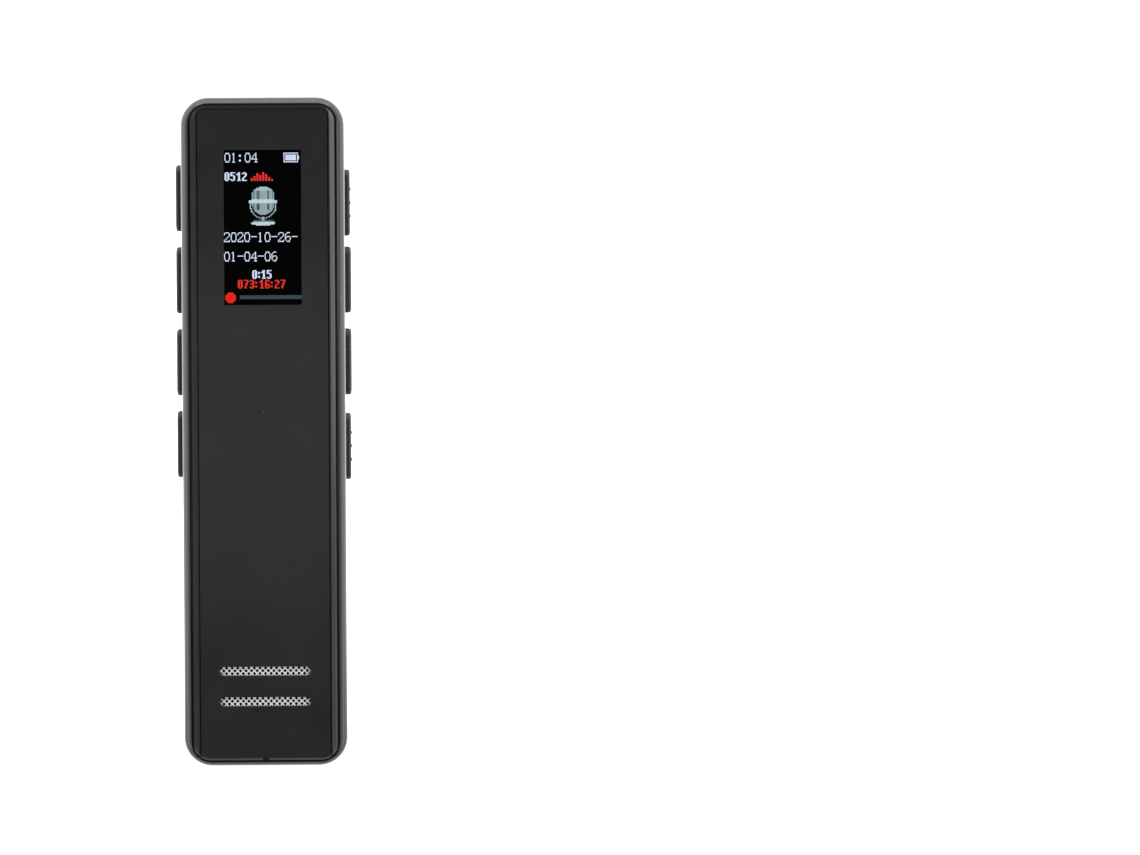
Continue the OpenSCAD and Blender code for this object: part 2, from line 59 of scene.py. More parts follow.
# %% [markdown]
# ## Camera
#
# The recorder lies on its back and is seen from almost straight above, from far away through a long
# lens, so that its sides stay nearly parallel. The camera stands a little to the right and towards the
# screen end, which shows a trace of the right side and of the top end. It looks past the recorder, so
# that the recorder stands in the left part of the picture. The turn is an ordinary X, Y, Z rotation:
# with none at all, a camera looks straight down.

# %% Camera
camera_data = bpy.data.cameras.new("camera")
camera_data.sensor_width = 36
camera_data.lens = 188.6
camera_data.clip_start, camera_data.clip_end = 0.05, 20
camera = bpy.data.objects.new("camera", camera_data)
camera.location = Vector((22.37, 37.95, 850)) * MM
camera.rotation_euler = [radians(a) for a in (-2.5505, -1.4203, -0.2369)]
scene.collection.objects.link(camera)
scene.camera = camera
print("camera", round(camera.location.z / MM), "mm up, lens", camera_data.lens, "mm")

# %% [markdown]
# ## Helpers for shapes
#
# Nearly every moulded piece here is a stack of outlines: a rounded rectangle at one height, another at
# the next, and faces between them. Modelling it as a stack, and not as a box with a Bevel modifier,
# gives exact radii and clean strips of faces that mirror light without ripples.
#
# Each quarter circle is split into the same number of steps in every outline, so that point number
# seven of one outline always meets point number seven of the next.

# %% Outlines and skins
STEPS = 16  # steps round a quarter circle


def outline(half_w, half_l, radius, z, centre=(0, 0)):
    """Rounded rectangle at one height, in millimetres. radius is one number or one for each corner."""
    radii = radius if isinstance(radius, tuple) else (radius,) * 4
    points = []
    for quarter, (sx, sy) in enumerate([(1, 1), (-1, 1), (-1, -1), (1, -1)]):
        r = radii[quarter]
        cx, cy = centre[0] + sx * (half_w - r), centre[1] + sy * (half_l - r)
        for k in range(STEPS + 1):
            a = radians(90 * quarter + 90 * k / STEPS)
            points.append((cx + r * cos(a), cy + r * sin(a), z))
    return points


def skin(loops, place=None):
    """Closed solid through a stack of outlines. place turns a point of the stack into its final place."""
    place = place or (lambda p: p)
    bm = bmesh.new()
    rings = [[bm.verts.new(Vector(place(p)) * MM) for p in loop] for loop in loops]
    for low, high in zip(rings, rings[1:]):
        n = len(low)
        for i in range(n):
            j = (i + 1) % n
            bm.faces.new((low[i], low[j], high[j], high[i]))
    bm.faces.new(rings[0][::-1])
    bm.faces.new(rings[-1])
    bmesh.ops.remove_doubles(bm, verts=bm.verts, dist=1e-7)
    bmesh.ops.recalc_face_normals(bm, faces=bm.faces)
    return bm


def as_object(name, *parts):
    """One object from several bmesh solids."""
    whole = bmesh.new()
    for part in parts:
        mesh = bpy.data.meshes.new("part")
        part.to_mesh(mesh)
        part.free()
        whole.from_mesh(mesh)
        bpy.data.meshes.remove(mesh)
    mesh = bpy.data.meshes.new(name)
    whole.to_mesh(mesh)
    whole.free()
    made = bpy.data.objects.new(name, mesh)
    scene.collection.objects.link(made)
    return made


def bake_modifiers(made):
    """Replaces an object's mesh with the result of its modifiers, and removes them."""
    graph = bpy.context.evaluated_depsgraph_get()
    mesh = bpy.data.meshes.new_from_object(made.evaluated_get(graph), preserve_all_data_layers=True,
                                           depsgraph=graph)
    made.modifiers.clear()
    old, made.data = made.data, mesh
    mesh.name = made.name
    bpy.data.meshes.remove(old)


def carve(made, cutters, operation="DIFFERENCE"):
    """Cuts each cutter out of a solid, or adds it, and removes the cutters."""
    for cutter in cutters:
        step = made.modifiers.new("carve", "BOOLEAN")
        step.operation, step.solver, step.object = operation, "EXACT", cutter
    bake_modifiers(made)
    for cutter in cutters:
        bpy.data.objects.remove(cutter)


# %% [markdown]
# ## Finishing a piece
#
# Each finished piece gets smooth shading, broken at its real edges. On a moulded shell, a large flat
# wall meets a thin strip of rounding. Plain smooth shading would bend the wall's reflection towards
# the strip, so the Weighted Normal modifier lets the larger face decide. Then the piece is tied to the
# body that it moves with and given its material, and the engineering nodes that it stands in for are
# hidden.

# %% Finish
def dress(made, material):
    made.data.materials.clear()
    made.data.materials.append(material)


def finish(made, material, body, nodes=(), sharp=32):
    """Shades a piece, gives it its material, ties it to its body, and hides the nodes that it stands in for.
    """
    made.data.shade_smooth()
    made.data.set_sharp_from_angle(angle=radians(sharp))
    weighted = made.modifiers.new("weighted", "WEIGHTED_NORMAL")
    weighted.keep_sharp, weighted.weight = True, 80
    bake_modifiers(made)
    dress(made, material)
    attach(made, body)
    if nodes:
        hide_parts(*nodes)
    size = [round(d / MM, 2) for d in made.dimensions]
    print(f"{made.name}: {len(made.data.polygons)} faces, {size} mm")


# %% [markdown]
# ## Node trees
#
# Every material, and every Geometry Nodes tree further on, is a set of nodes joined by links. Two small
# helpers keep them readable: one adds a node with its settings, and one lists links in reading order.

# %% Nodes and links
def add_node(tree, kind, values=None, **settings):
    """New node, with these values on its inputs."""
    node = tree.nodes.new(kind)
    for key, value in settings.items():
        setattr(node, key, value)
    for entry, value in (values or {}).items():
        node.inputs[entry].default_value = value
    return node


def wire(tree, *links):
    """Joins sockets. A link is a node, its output, the next node and its input."""
    for source, output, target, entry in links:
        tree.links.new(source.outputs[output], target.inputs[entry])


# %% [markdown]
# ## Materials
#
# A real surface is never one flat value. Each material below starts from one colour and one
# roughness, lets a noise texture move both a little, and, where it is asked for, adds a fine bump. All
# patterns read Object coordinates, which are metres on the part itself, so a grain keeps its real size
# on every piece and stays put when the camera moves.

# %% A builder for moulded and metal finishes
ROUGH_SPREAD = 0.2  # share by which the roughness varies
BUMP_HEIGHT = 0.02  # millimetres


def surface(name, colour, roughness, grain_mm=0.4, spread=0.25, bump=0.0, bump_mm=None, metallic=0.0,
            coat=0.0, specular=0.5, stretch=(1, 1, 1)):
    """Material whose colour, roughness and height vary at the size of its grain."""
    material = bpy.data.materials.new(name)
    material.use_nodes = True
    tree = material.node_tree
    shader = tree.nodes["Principled BSDF"]
    for entry, value in (("Metallic", metallic), ("Coat Weight", coat), ("Coat Roughness", 0.05),
                         ("Specular IOR Level", specular)):
        shader.inputs[entry].default_value = value
    place = add_node(tree, "ShaderNodeTexCoord")
    mapping = add_node(tree, "ShaderNodeMapping", {"Scale": stretch})
    grain = add_node(tree, "ShaderNodeTexNoise", {"Scale": 1 / (grain_mm * MM), "Detail": 5})
    tones = add_node(tree, "ShaderNodeValToRGB")
    for stop, at, change in zip(tones.color_ramp.elements, (0.3, 0.7), (1 - spread, 1 + spread)):
        stop.position = at
        stop.color = [min(1, c * change) for c in colour] + [1]
    rough = add_node(tree, "ShaderNodeMapRange", {"To Min": roughness * (1 - ROUGH_SPREAD),
                                                  "To Max": min(1, roughness * (1 + ROUGH_SPREAD))})
    wire(tree, (place, "Object", mapping, "Vector"), (mapping, "Vector", grain, "Vector"),
         (grain, "Fac", tones, "Fac"), (tones, "Color", shader, "Base Color"),
         (grain, "Fac", rough, "Value"), (rough, "Result", shader, "Roughness"))
    if bump:
        fine = add_node(tree, "ShaderNodeTexNoise",
                        {"Scale": 1 / ((bump_mm or grain_mm) * MM), "Detail": 3})
        relief = add_node(tree, "ShaderNodeBump", {"Strength": bump, "Distance": BUMP_HEIGHT * MM})
        wire(tree, (mapping, "Vector", fine, "Vector"), (fine, "Fac", relief, "Height"),
             (relief, "Normal", shader, "Normal"))
    return material


# %% [markdown]
# ## Outside finishes
#
# The shells and the panel are polished black plastic. Polished black has almost no colour of its own:
# what is seen in it is the room. Its roughness is low, and a hardly visible waviness keeps the mirror
# image from being perfect. Both carry a few specks of dust, which every glossy black surface shows.
#
# The keys are moulded with a fine spark-eroded texture that scatters light, so they look softer and a
# touch lighter than the polished plastic beside them.

# %% Plastics and mesh
shell_black = surface("polished_shell", (0.005, 0.005, 0.0055), 0.06, grain_mm=6, bump=0.01, bump_mm=1.5)
panel_black = surface("panel_gloss", (0.008, 0.008, 0.009), 0.1, grain_mm=9, bump=0.01, bump_mm=2.5)
key_black = surface("satin_keys", (0.014, 0.014, 0.0145), 0.58, grain_mm=0.12, bump=0.5,
                    bump_mm=0.11, spread=0.35)
# The mesh is steel. Its near-white, barely metallic colour is a painted reflection: it stands in for the
# bright room that the metal would mirror, and it keeps the mesh white in the shade of its slot.
mesh_painted_sheen = surface("bright_mesh", (0.97, 0.97, 0.98), 0.32, grain_mm=0.5, metallic=0.1, spread=0.03)
screw_black = surface("blackened_steel", (0.03, 0.03, 0.032), 0.4, grain_mm=0.3, metallic=0.6, bump=0.2)
nickel = surface("nickel_plate", (0.42, 0.41, 0.39), 0.26, grain_mm=0.5, metallic=1, spread=0.08)
window_black = surface("dark_window", (0.0006, 0.0006, 0.0007), 0.22, grain_mm=5, specular=0.02,
                       spread=0.1)

CELL_TO_SPECK = 6  # a cell of the pattern is this many specks wide
SPECK_SHARE = 0.1  # share of a cell's width that counts as its speck
COLOUR_A, COLOUR_B, COLOUR_RESULT = 6, 7, 2  # the colour sockets of a Mix node


def add_dust(material, share, size_mm, colour):
    """Sprinkles pale specks over a material's base colour: cells of a Voronoi pattern, most left out."""
    tree = material.node_tree
    shader = tree.nodes["Principled BSDF"]
    under = shader.inputs["Base Color"].links[0].from_node
    place = add_node(tree, "ShaderNodeTexCoord")
    cells = add_node(tree, "ShaderNodeTexVoronoi", {"Scale": 1 / (size_mm * CELL_TO_SPECK * MM)})
    near = add_node(tree, "ShaderNodeMath", {1: SPECK_SHARE}, operation="LESS_THAN")
    split = add_node(tree, "ShaderNodeSeparateColor")
    chosen = add_node(tree, "ShaderNodeMath", {1: share}, operation="LESS_THAN")
    both = add_node(tree, "ShaderNodeMath", operation="MULTIPLY")
    mix = add_node(tree, "ShaderNodeMix", {COLOUR_B: (*colour, 1)}, data_type="RGBA")
    wire(tree, (place, "Object", cells, "Vector"), (cells, "Distance", near, 0),
         (cells, "Color", split, "Color"), (split, "Red", chosen, 0), (near, "Value", both, 0),
         (chosen, "Value", both, 1), (both, "Value", mix, "Factor"), (under, "Color", mix, COLOUR_A),
         (mix, COLOUR_RESULT, shader, "Base Color"))


add_dust(panel_black, 0.005, 0.16, (0.1, 0.1, 0.1))
add_dust(shell_black, 0.05, 0.13, (0.2, 0.2, 0.2))

# %% [markdown]
# ## Inside finishes
#
# The board, the cell, the speaker and the sockets are hidden while the casing is closed. They still
# get real finishes, because the pieces of this model are used on their own too.

# %% Finishes of the hidden pieces
inside = {
    "tape": surface("tape", (0.02, 0.02, 0.02), 0.8, grain_mm=0.3, bump=0.3),
    "glass": surface("display_glass", (0.004, 0.004, 0.006), 0.08, grain_mm=4, coat=0.5),
    "white": surface("white_moulding", (0.72, 0.72, 0.69), 0.5, grain_mm=0.6, spread=0.04, bump=0.1),
    "foam": surface("foam", (0.55, 0.46, 0.32), 0.9, grain_mm=0.15, bump=0.9, spread=0.2),
    "film": surface("amber_film", (0.4, 0.15, 0.03), 0.3, grain_mm=0.8, coat=0.4),
    "board": surface("board_green", (0.012, 0.07, 0.03), 0.35, grain_mm=1.1, coat=0.4, spread=0.45),
    "chip": surface("chip_moulding", (0.018, 0.018, 0.02), 0.6, grain_mm=0.1, bump=0.4),
    "steel": surface("plain_steel", (0.55, 0.56, 0.57), 0.32, grain_mm=0.12, metallic=1,
                     stretch=(1, 8, 1), spread=0.1),
    "socket": surface("socket_steel", (0.3, 0.3, 0.31), 0.36, grain_mm=0.3, metallic=1, spread=0.12),
    "ceramic": surface("fired_ceramic", (0.36, 0.24, 0.14), 0.5, grain_mm=0.2, spread=0.15),
    "foil": surface("pouch_foil", (0.62, 0.64, 0.66), 0.36, grain_mm=0.7, metallic=0.9, bump=0.6,
                    spread=0.08),
    "red_wire": surface("red_insulation", (0.42, 0.02, 0.015), 0.45, grain_mm=0.4, spread=0.12),
    "black_wire": surface("black_insulation", (0.012, 0.012, 0.012), 0.45, grain_mm=0.4),
    "moulding": surface("black_moulding", (0.018, 0.018, 0.019), 0.45, grain_mm=0.25, bump=0.25),
    "cone": surface("cone_film", (0.05, 0.045, 0.04), 0.6, grain_mm=0.2, bump=0.4),
    "rubber": surface("soft_rubber", (0.02, 0.02, 0.02), 0.75, grain_mm=0.2, bump=0.5),
    "gold": surface("gold_plate", (0.83, 0.56, 0.2), 0.22, grain_mm=0.3, metallic=1, spread=0.06),
}
dressing = {
    "tape": ["panel_adhesive"],
    "glass": ["lcd_glass"],
    "white": ["lcd_backlight"] + [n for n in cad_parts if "_plunger_" in n]
             + ["power_lever", "record_lever"],
    "foam": ["lcd_pad", "battery_pad"],
    "film": ["lcd_ribbon"],
    "board": ["main_board", "battery_board"],
    "chip": ["processor_chip", "memory_chip", "amplifier_chip"],
    "steel": ["crystal", "left_microphone", "right_microphone", "power_switch", "record_switch",
              "speaker_magnet"],
    "socket": ["usb_shell"],
    "ceramic": ["capacitors"],
    "foil": ["battery"],
    "red_wire": ["battery_lead_red", "speaker_lead_red"],
    "black_wire": ["battery_lead_black", "speaker_lead_black"],
    "moulding": ["speaker_frame", "jack_housing", "usb_tongue", "left_key_switches",
                 "right_key_switches"],
    "cone": ["speaker_cone"],
    "rubber": ["speaker_gasket", "left_mic_boot", "right_mic_boot"],
    "gold": ["jack_contacts", "usb_contacts"],
}
for finish_name, names in dressing.items():
    for n in names:
        dress(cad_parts[n], inside[finish_name])
print(sum(map(len, dressing.values())), "hidden nodes dressed")

# %% [markdown]
# ## Sizes of the casing
#
# The outline comes from the engineering model itself, so that both always agree. The rest are the
# moulder's numbers: wall, corner, the rounding along the front and back edges, and the seat that the
# panel drops into.

# %% Casing sizes
def box_mm(node):
    """Low and high corner of an engineering node, in millimetres."""
    return [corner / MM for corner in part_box(node)]


def centre_of(node):
    low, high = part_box(node)
    return (low + high) / 2 / MM


front_low, front_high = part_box("front_shell")
panel_low, panel_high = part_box("front_panel")
HALF_W, HALF_L = front_high.x / MM, front_high.y / MM
CORNER, WALL, RIM_WIDTH = 4.0, 1.2, 1.15
FRONT_ROUND, BACK_ROUND = 1.6, 2.0
SEAM_Z = front_low.z / MM
RIM_Z = front_high.z / MM + FRONT_ROUND - sqrt(FRONT_ROUND**2 - (FRONT_ROUND - RIM_WIDTH)**2)
PANEL_Y = (panel_high.y + panel_low.y) / 2 / MM
PANEL_HALF_W, PANEL_HALF_L = panel_high.x / MM, (panel_high.y - panel_low.y) / 2 / MM
PANEL_TOP, PANEL_FOOT = panel_high.z / MM, panel_low.z / MM
SEAT_GAP, SEAT_CORNER, GLUE_T, PLATE_T = 0.12, 2.6, 0.1, 0.8
SEAT_HALF_W, SEAT_HALF_L = PANEL_HALF_W + SEAT_GAP, PANEL_HALF_L + SEAT_GAP
SEAT_Z = PANEL_FOOT - GLUE_T
PLATE_Z = SEAT_Z - PLATE_T
print("casing", 2 * HALF_W, 2 * HALF_L, "rim", round(RIM_Z, 3), "seat", round(SEAT_Z, 2))

# %% [markdown]
# ## Cutters for the openings
#
# The walls are pierced for the keys, the two sliders, the charging socket, the headphone jack and the
# microphones. A Boolean modifier cuts each of them with a solid of the opening's shape. The cutter
# widens a little where it leaves the wall, so one cut makes both the hole and the small chamfer round
# its mouth. A bevel added afterwards would have to find those edges among all the others.

# %% Cutters
KEY_Z = SEAM_Z
KEY_HALF_L, KEY_HALF_H, KEY_CORNER, KEY_PLAY = 4.7, 1.7, 1.2, 0.1
USB_HALF_L, USB_HALF_H, USB_CORNER = 3.85, 1.35, 0.5
JACK_HOLE_R, MIC_HOLE_R = 2.55, 0.45
KEY_CHAMFER, CHAMFER, USB_CHAMFER = 0.07, 0.1, 0.12


def side_place(side, y, z=KEY_Z):
    """Turns a stack that rises along Z into one that stands out of a side wall at height z."""
    return lambda p: (side * p[2], y + p[0], z + p[1])


def end_place(x, z):
    """Turns a stack that rises along Z into one that stands out of the top end."""
    return lambda p: (x + p[0], p[2], z + p[1])


def mouth(half_u, half_v, radius, start, wall_face, flare, place):
    """Cutter that starts inside at start and widens by flare where it meets the wall's face."""
    def ring(grow, w):
        return outline(half_u + grow, half_v + grow, radius + grow, w)
    stack = [ring(0, start), ring(0, wall_face - flare), ring(2 * flare, wall_face + flare),
             ring(2 * flare, wall_face + 1)]
    return as_object("cutter", skin(stack, place))


def plug(half_x, half_y, radius, low, high, centre=(0, 0)):
    """Upright cutter or boss."""
    return as_object("cutter", skin([outline(half_x, half_y, radius, low, centre),
                                     outline(half_x, half_y, radius, high, centre)]))


def peg(radius, low, high, centre):
    """Upright round cutter or boss."""
    return plug(radius, radius, radius, low, high, centre)


LEFT_KEYS = [f"left_key_{i}" for i in (1, 2, 3, 4)]
RIGHT_KEYS = [f"right_key_{i}" for i in (1, 2)]
SLIDERS = ["power_slider", "record_slider"]
TRAVEL, NECK_HALF_L, NECK_HALF_H = 1.6, 2.5, 0.8  # the neck joins a slider's knob to its foot
INSIDE_W, INSIDE_L = HALF_W - WALL - 1, HALF_L - WALL - 1  # where the cutters start, inside the wall
jack, usb = centre_of("jack_bushing"), centre_of("usb_shell")
mics = [centre_of(n) for n in ("left_microphone", "right_microphone")]


def side_cutters():
    """New cutters for everything that pierces the side and end walls."""
    made = []
    for n in LEFT_KEYS + RIGHT_KEYS:
        side = -1 if n in LEFT_KEYS else 1
        made.append(mouth(KEY_HALF_L + KEY_PLAY, KEY_HALF_H + KEY_PLAY, KEY_CORNER + KEY_PLAY,
                          INSIDE_W, HALF_W, KEY_CHAMFER, side_place(side, centre_of(n).y)))
    for n in SLIDERS:
        middle = centre_of(n).y + TRAVEL / 2
        made.append(mouth(KEY_HALF_L + TRAVEL / 2 + KEY_PLAY, KEY_HALF_H + KEY_PLAY,
                          KEY_CORNER + KEY_PLAY, HALF_W - 0.7, HALF_W, KEY_CHAMFER,
                          side_place(1, middle)))
        neck = [outline(NECK_HALF_L + TRAVEL / 2 + KEY_PLAY, NECK_HALF_H + KEY_PLAY, 0.2, w)
                for w in (INSIDE_W, HALF_W - 0.5)]
        made.append(as_object("cutter", skin(neck, side_place(1, middle))))
    made.append(mouth(USB_HALF_L, USB_HALF_H, USB_CORNER, INSIDE_W, HALF_W, USB_CHAMFER,
                      side_place(1, usb.y, usb.z)))
    for r, x, z in [(JACK_HOLE_R, 0, jack.z)] + [(MIC_HOLE_R, m.x, KEY_Z) for m in mics]:
        made.append(mouth(r, r, r, INSIDE_L, HALF_L, CHAMFER, end_place(x, z)))
    return made


# %% [markdown]
# ## Front shell
#
# The front shell is a shallow tray: side walls, a rounded rim, a seat for the panel and a thin plate
# under it. It is made as one closed stack of outlines that starts on the underside of the plate, goes
# down the inside of the wall, out along the seam, up the outside, over the rim and down to the seat.
#
# The rim is a true arc, but the seat isn't the same distance from the outer wall everywhere: it is
# nearer at the ends than at the sides. So each point of the rim is placed between the wall's outline
# and the seat's outline, and its height comes from how far in from the wall it really is.

# %% Front shell
SCREW_X, SCREW_Y = 8.3, 42
SCREWS = [(x * SCREW_X, y * SCREW_Y) for x in (1, -1) for y in (1, -1)]
BOSS_R, PILOT_R = 1.4, 0.55
TONGUE, TONGUE_H = 0.5, 0.7  # the lip that keeps the two shells in line
GROOVE, GROOVE_H = 0.55, 0.75  # the room for it in the front shell
SEAM_EDGE = [(0.07, 0), (0.02, 0.02), (0, 0.07)]  # the small chamfer beside the seam: inset and height
RIM_STEPS = 14
RIM_END = 0.915  # share of the way to the seat where the rim breaks off into the gap
GAP_DEPTH = 0.4


def inset(x, y):
    """How far a point lies inside the casing's outline."""
    qx, qy = abs(x) - (HALF_W - CORNER), abs(y) - (HALF_L - CORNER)
    return CORNER - (sqrt(max(qx, 0)**2 + max(qy, 0)**2) + min(max(qx, qy), 0))


def rim_height(d):
    """Height of the rounded rim at a distance d inside the outline."""
    d = min(max(d, 0), FRONT_ROUND)
    return RIM_Z - FRONT_ROUND + sqrt(FRONT_ROUND**2 - (FRONT_ROUND - d)**2)


def body_ring(d, z):
    """The casing's outline, drawn in by d, at height z."""
    return outline(HALF_W - d, HALF_L - d, CORNER - d, z)


seat_ring = outline(SEAT_HALF_W, SEAT_HALF_L, SEAT_CORNER, SEAT_Z, (0, PANEL_Y))
front_stack = [body_ring(WALL, PLATE_Z), body_ring(WALL, SEAM_Z + GROOVE_H),
               body_ring(WALL - GROOVE, SEAM_Z + GROOVE_H), body_ring(WALL - GROOVE, SEAM_Z)]
front_stack += [body_ring(d, SEAM_Z + rise) for d, rise in SEAM_EDGE]
front_stack.append(body_ring(0, RIM_Z - FRONT_ROUND))
steepest = acos(1 - (HALF_W - SEAT_HALF_W) / FRONT_ROUND)
shares = [FRONT_ROUND * (1 - cos(steepest * step / RIM_STEPS)) / (HALF_W - SEAT_HALF_W)
          for step in range(1, RIM_STEPS)]
for share in shares + [RIM_END]:
    ring = []
    for outer, seat in zip(body_ring(0, 0), seat_ring):
        x, y = (o + (s - o) * share for o, s in zip(outer[:2], seat[:2]))
        ring.append((x, y, rim_height(inset(x, y))))
    front_stack.append(ring)
front_stack.append([(x, y, rim_height(inset(x, y)) - GAP_DEPTH) for x, y, z in seat_ring])
front_stack.append(seat_ring)
front_shell = as_object("polished_front_shell", skin(front_stack))

carve(front_shell, [peg(BOSS_R, SEAM_Z, PLATE_Z + 0.2, s) for s in SCREWS], "UNION")
lcd_low, lcd_high = box_mm("lcd_glass")
lcd_middle = (lcd_high.y + lcd_low.y) / 2
meshes = [centre_of(n) for n in ("upper_grille_mesh", "lower_grille_mesh")]
SLOT_HALF_L, SLOT_HALF_W, SLOT_CORNER = 6.35, 0.605, 0.6
front_cuts = [peg(PILOT_R, SEAM_Z - 1, PLATE_Z - 0.3, s) for s in SCREWS]
front_cuts.append(plug(lcd_high.x + 0.2, (lcd_high.y - lcd_low.y) / 2 + 0.7, 0.5, PLATE_Z - 1, SEAT_Z + 1,
                       (0, lcd_middle - 0.5)))
front_cuts += [plug(SLOT_HALF_L, SLOT_HALF_W, SLOT_CORNER, PLATE_Z - 1, SEAT_Z + 1, (0, m.y)) for m in meshes]
carve(front_shell, front_cuts + side_cutters())
finish(front_shell, shell_black, "casing", ["front_shell"])

# %% [markdown]
# ## Rear shell
#
# The rear shell is the deeper half. Its back edge is rounded generously, so that it sits well in the
# hand. A thin tongue on top of its wall reaches inside the front shell and keeps the two in line, and
# both halves have a tiny chamfer along the seam, which draws the fine parting line round the casing.
# Four small screws hold the halves together from the back.

# %% Rear shell
rear_stack = [body_ring(WALL, WALL), body_ring(WALL, SEAM_Z + TONGUE_H),
              body_ring(WALL - TONGUE, SEAM_Z + TONGUE_H), body_ring(WALL - TONGUE, SEAM_Z)]
rear_stack += [body_ring(d, SEAM_Z - drop) for d, drop in SEAM_EDGE]
rear_stack.append(body_ring(0, BACK_ROUND))
for step in range(1, RIM_STEPS + 1):
    a = pi / 2 * step / RIM_STEPS
    rear_stack.append(body_ring(BACK_ROUND * (1 - cos(a)), BACK_ROUND * (1 - sin(a))))
rear_shell = as_object("polished_rear_shell", skin(rear_stack))

FOOT_R, POST_R, SHANK_HOLE_R = 1.9, 0.8, 0.75
bosses = [peg(BOSS_R, WALL - 0.4, SEAM_Z, s) for s in SCREWS]
feet = [peg(FOOT_R, WALL - 0.5, WALL + 1.2, s) for s in SCREWS]
board_low = box_mm("main_board")[0]
posts = [peg(POST_R, WALL - 0.3, board_low.z, p)
         for p in ((7.6, -22), (-7.6, -22), (4.8, 40.4), (-4.8, 40.4))]
cell = centre_of("battery")
ribs = [plug(0.3, 16, 0.1, WALL - 0.25, WALL + 1.4, (x * 6.5, cell.y)) for x in (1, -1)]
carve(rear_shell, bosses + feet + posts + ribs, "UNION")


def screw_recess(x, y):
    """Round recess for a screw's head, with a chamfered mouth on the back."""
    rings = [(1.35, 1.1), (1.35, 0.1), (1.55, -0.1), (1.55, -1)]
    return as_object("cutter", skin([outline(r, r, r, z, (x, y)) for r, z in rings]))


carve(rear_shell, [peg(SHANK_HOLE_R, -1, SEAM_Z + 1, s) for s in SCREWS])
carve(rear_shell, [screw_recess(*s) for s in SCREWS] + side_cutters())
finish(rear_shell, shell_black, "casing", ["rear_shell"])

# %% [markdown]
# ## Front panel
#
# The panel is the piece that gives the recorder its face. Along the sides and the top it falls away in
# a gently curved slope, and a hair-thin groove runs where that slope begins. At the foot there is only
# a narrow chamfer, which follows the panel's round corners, with a small pry notch in its middle.
#
# It is one more stack of outlines. The flat is not a plain rounded rectangle, because its lower corners
# are cut by the foot chamfer, so the panel gets an outline of its own.

# %% Front panel
SIDE_SLOPE, TOP_SLOPE, FOOT_SLOPE = 1.13, 0.65, 0.4
SIDE_DROP, TOP_DROP, FOOT_DROP = 0.38, 0.17, 0.12
PANEL_CORNER, FLAT_CORNER = 2.48, 0.95
SLOPE_CURVE = 1.15  # 1 makes the slope straight, more makes it bulge
SLOPE_STEPS = 8


def panel_ring(share, grow=0.0, depth=0.0):
    """Outline of the panel's top, from its outer edge at share 1 to the flat at share 0.
    grow widens it and depth sinks it. At the flat, both act along the sides and the top only."""
    edge, fall = share == 1, share**SLOPE_CURVE
    side = SIDE_SLOPE * (1 - share) - grow
    top = TOP_SLOPE * (1 - share) - grow
    foot = FOOT_SLOPE * (1 - share) - (grow if edge else 0)
    corner = FLAT_CORNER + (PANEL_CORNER - FLAT_CORNER) * share + (grow if edge else 0)
    ring = []
    for quarter, (sx, sy) in enumerate([(1, 1), (-1, 1), (-1, -1), (1, -1)]):
        for k in range(STEPS + 1):
            a = radians(90 * quarter + 90 * k / STEPS)
            if sy > 0:
                x = sx * (PANEL_HALF_W - side - corner) + corner * cos(a)
                y = PANEL_HALF_L - top - corner + corner * sin(a)
                z = PANEL_TOP - fall * (SIDE_DROP + (TOP_DROP - SIDE_DROP) * sin(a)**2) - depth
            else:
                r = PANEL_CORNER - foot
                x = sx * (PANEL_HALF_W - PANEL_CORNER) + r * cos(a)
                y = -(PANEL_HALF_L - PANEL_CORNER) + r * sin(a)
                on_side = edge or abs(x) > PANEL_HALF_W - side - 1e-9
                x = sx * min(abs(x), PANEL_HALF_W - side)
                turn = min(1, max(0, (abs(sin(a)) - 0.45) / 0.35))
                z = PANEL_TOP - fall * (SIDE_DROP + (FOOT_DROP - SIDE_DROP) * turn)
                z -= depth if on_side else 0
            ring.append((x, PANEL_Y + y, z))
    return ring


panel_stack = [outline(PANEL_HALF_W, PANEL_HALF_L, PANEL_CORNER, PANEL_FOOT, (0, PANEL_Y)),
               panel_ring(1, 0, GAP_DEPTH), panel_ring(1, -0.06, 0.07), panel_ring(1, -0.1)]
panel_stack += [panel_ring(1 - step / SLOPE_STEPS) for step in range(1, SLOPE_STEPS)]
panel_stack += [panel_ring(0, 0.26, 0.03), panel_ring(0, 0.12, 0.36), panel_ring(0)]
front_panel = as_object("glossy_front_panel", skin(panel_stack))

window_low, window_high = box_mm("display_window")
WINDOW_HALF_W, WINDOW_HALF_L = window_high.x, (window_high.y - window_low.y) / 2
WINDOW_Y = (window_high.y + window_low.y) / 2
panel_cuts = [plug(WINDOW_HALF_W, WINDOW_HALF_L, 0.02, PANEL_FOOT - 1, PANEL_TOP + 1, (0, WINDOW_Y))]
for m in meshes:
    rings = [(0, PANEL_FOOT - 1), (0, PANEL_TOP - 0.06), (0.12, PANEL_TOP + 0.06), (0.12, PANEL_TOP + 1)]
    panel_cuts.append(as_object("cutter", skin([
        outline(SLOT_HALF_L + g, SLOT_HALF_W + g, SLOT_CORNER + g, z, (0, m.y)) for g, z in rings])))
NOTCH_HALF_W, NOTCH_REACH, NOTCH_CORNER, NOTCH_DEPTH = 0.45, 0.42, 0.2, 0.2
panel_cuts.append(plug(NOTCH_HALF_W, NOTCH_REACH, NOTCH_CORNER, PANEL_TOP - NOTCH_DEPTH, PANEL_TOP + 1,
                       (0, PANEL_Y - PANEL_HALF_L)))
carve(front_panel, panel_cuts)
mesh_low, mesh_high = box_mm("upper_grille_mesh")
pockets = [plug(mesh_high.x + 0.05, (mesh_high.y - mesh_low.y) / 2 + 0.05, 0.9, PANEL_FOOT - 1, mesh_high.z,
                (0, m.y)) for m in meshes]
carve(front_panel, pockets)
finish(front_panel, panel_black, "casing", ["front_panel"], sharp=24)

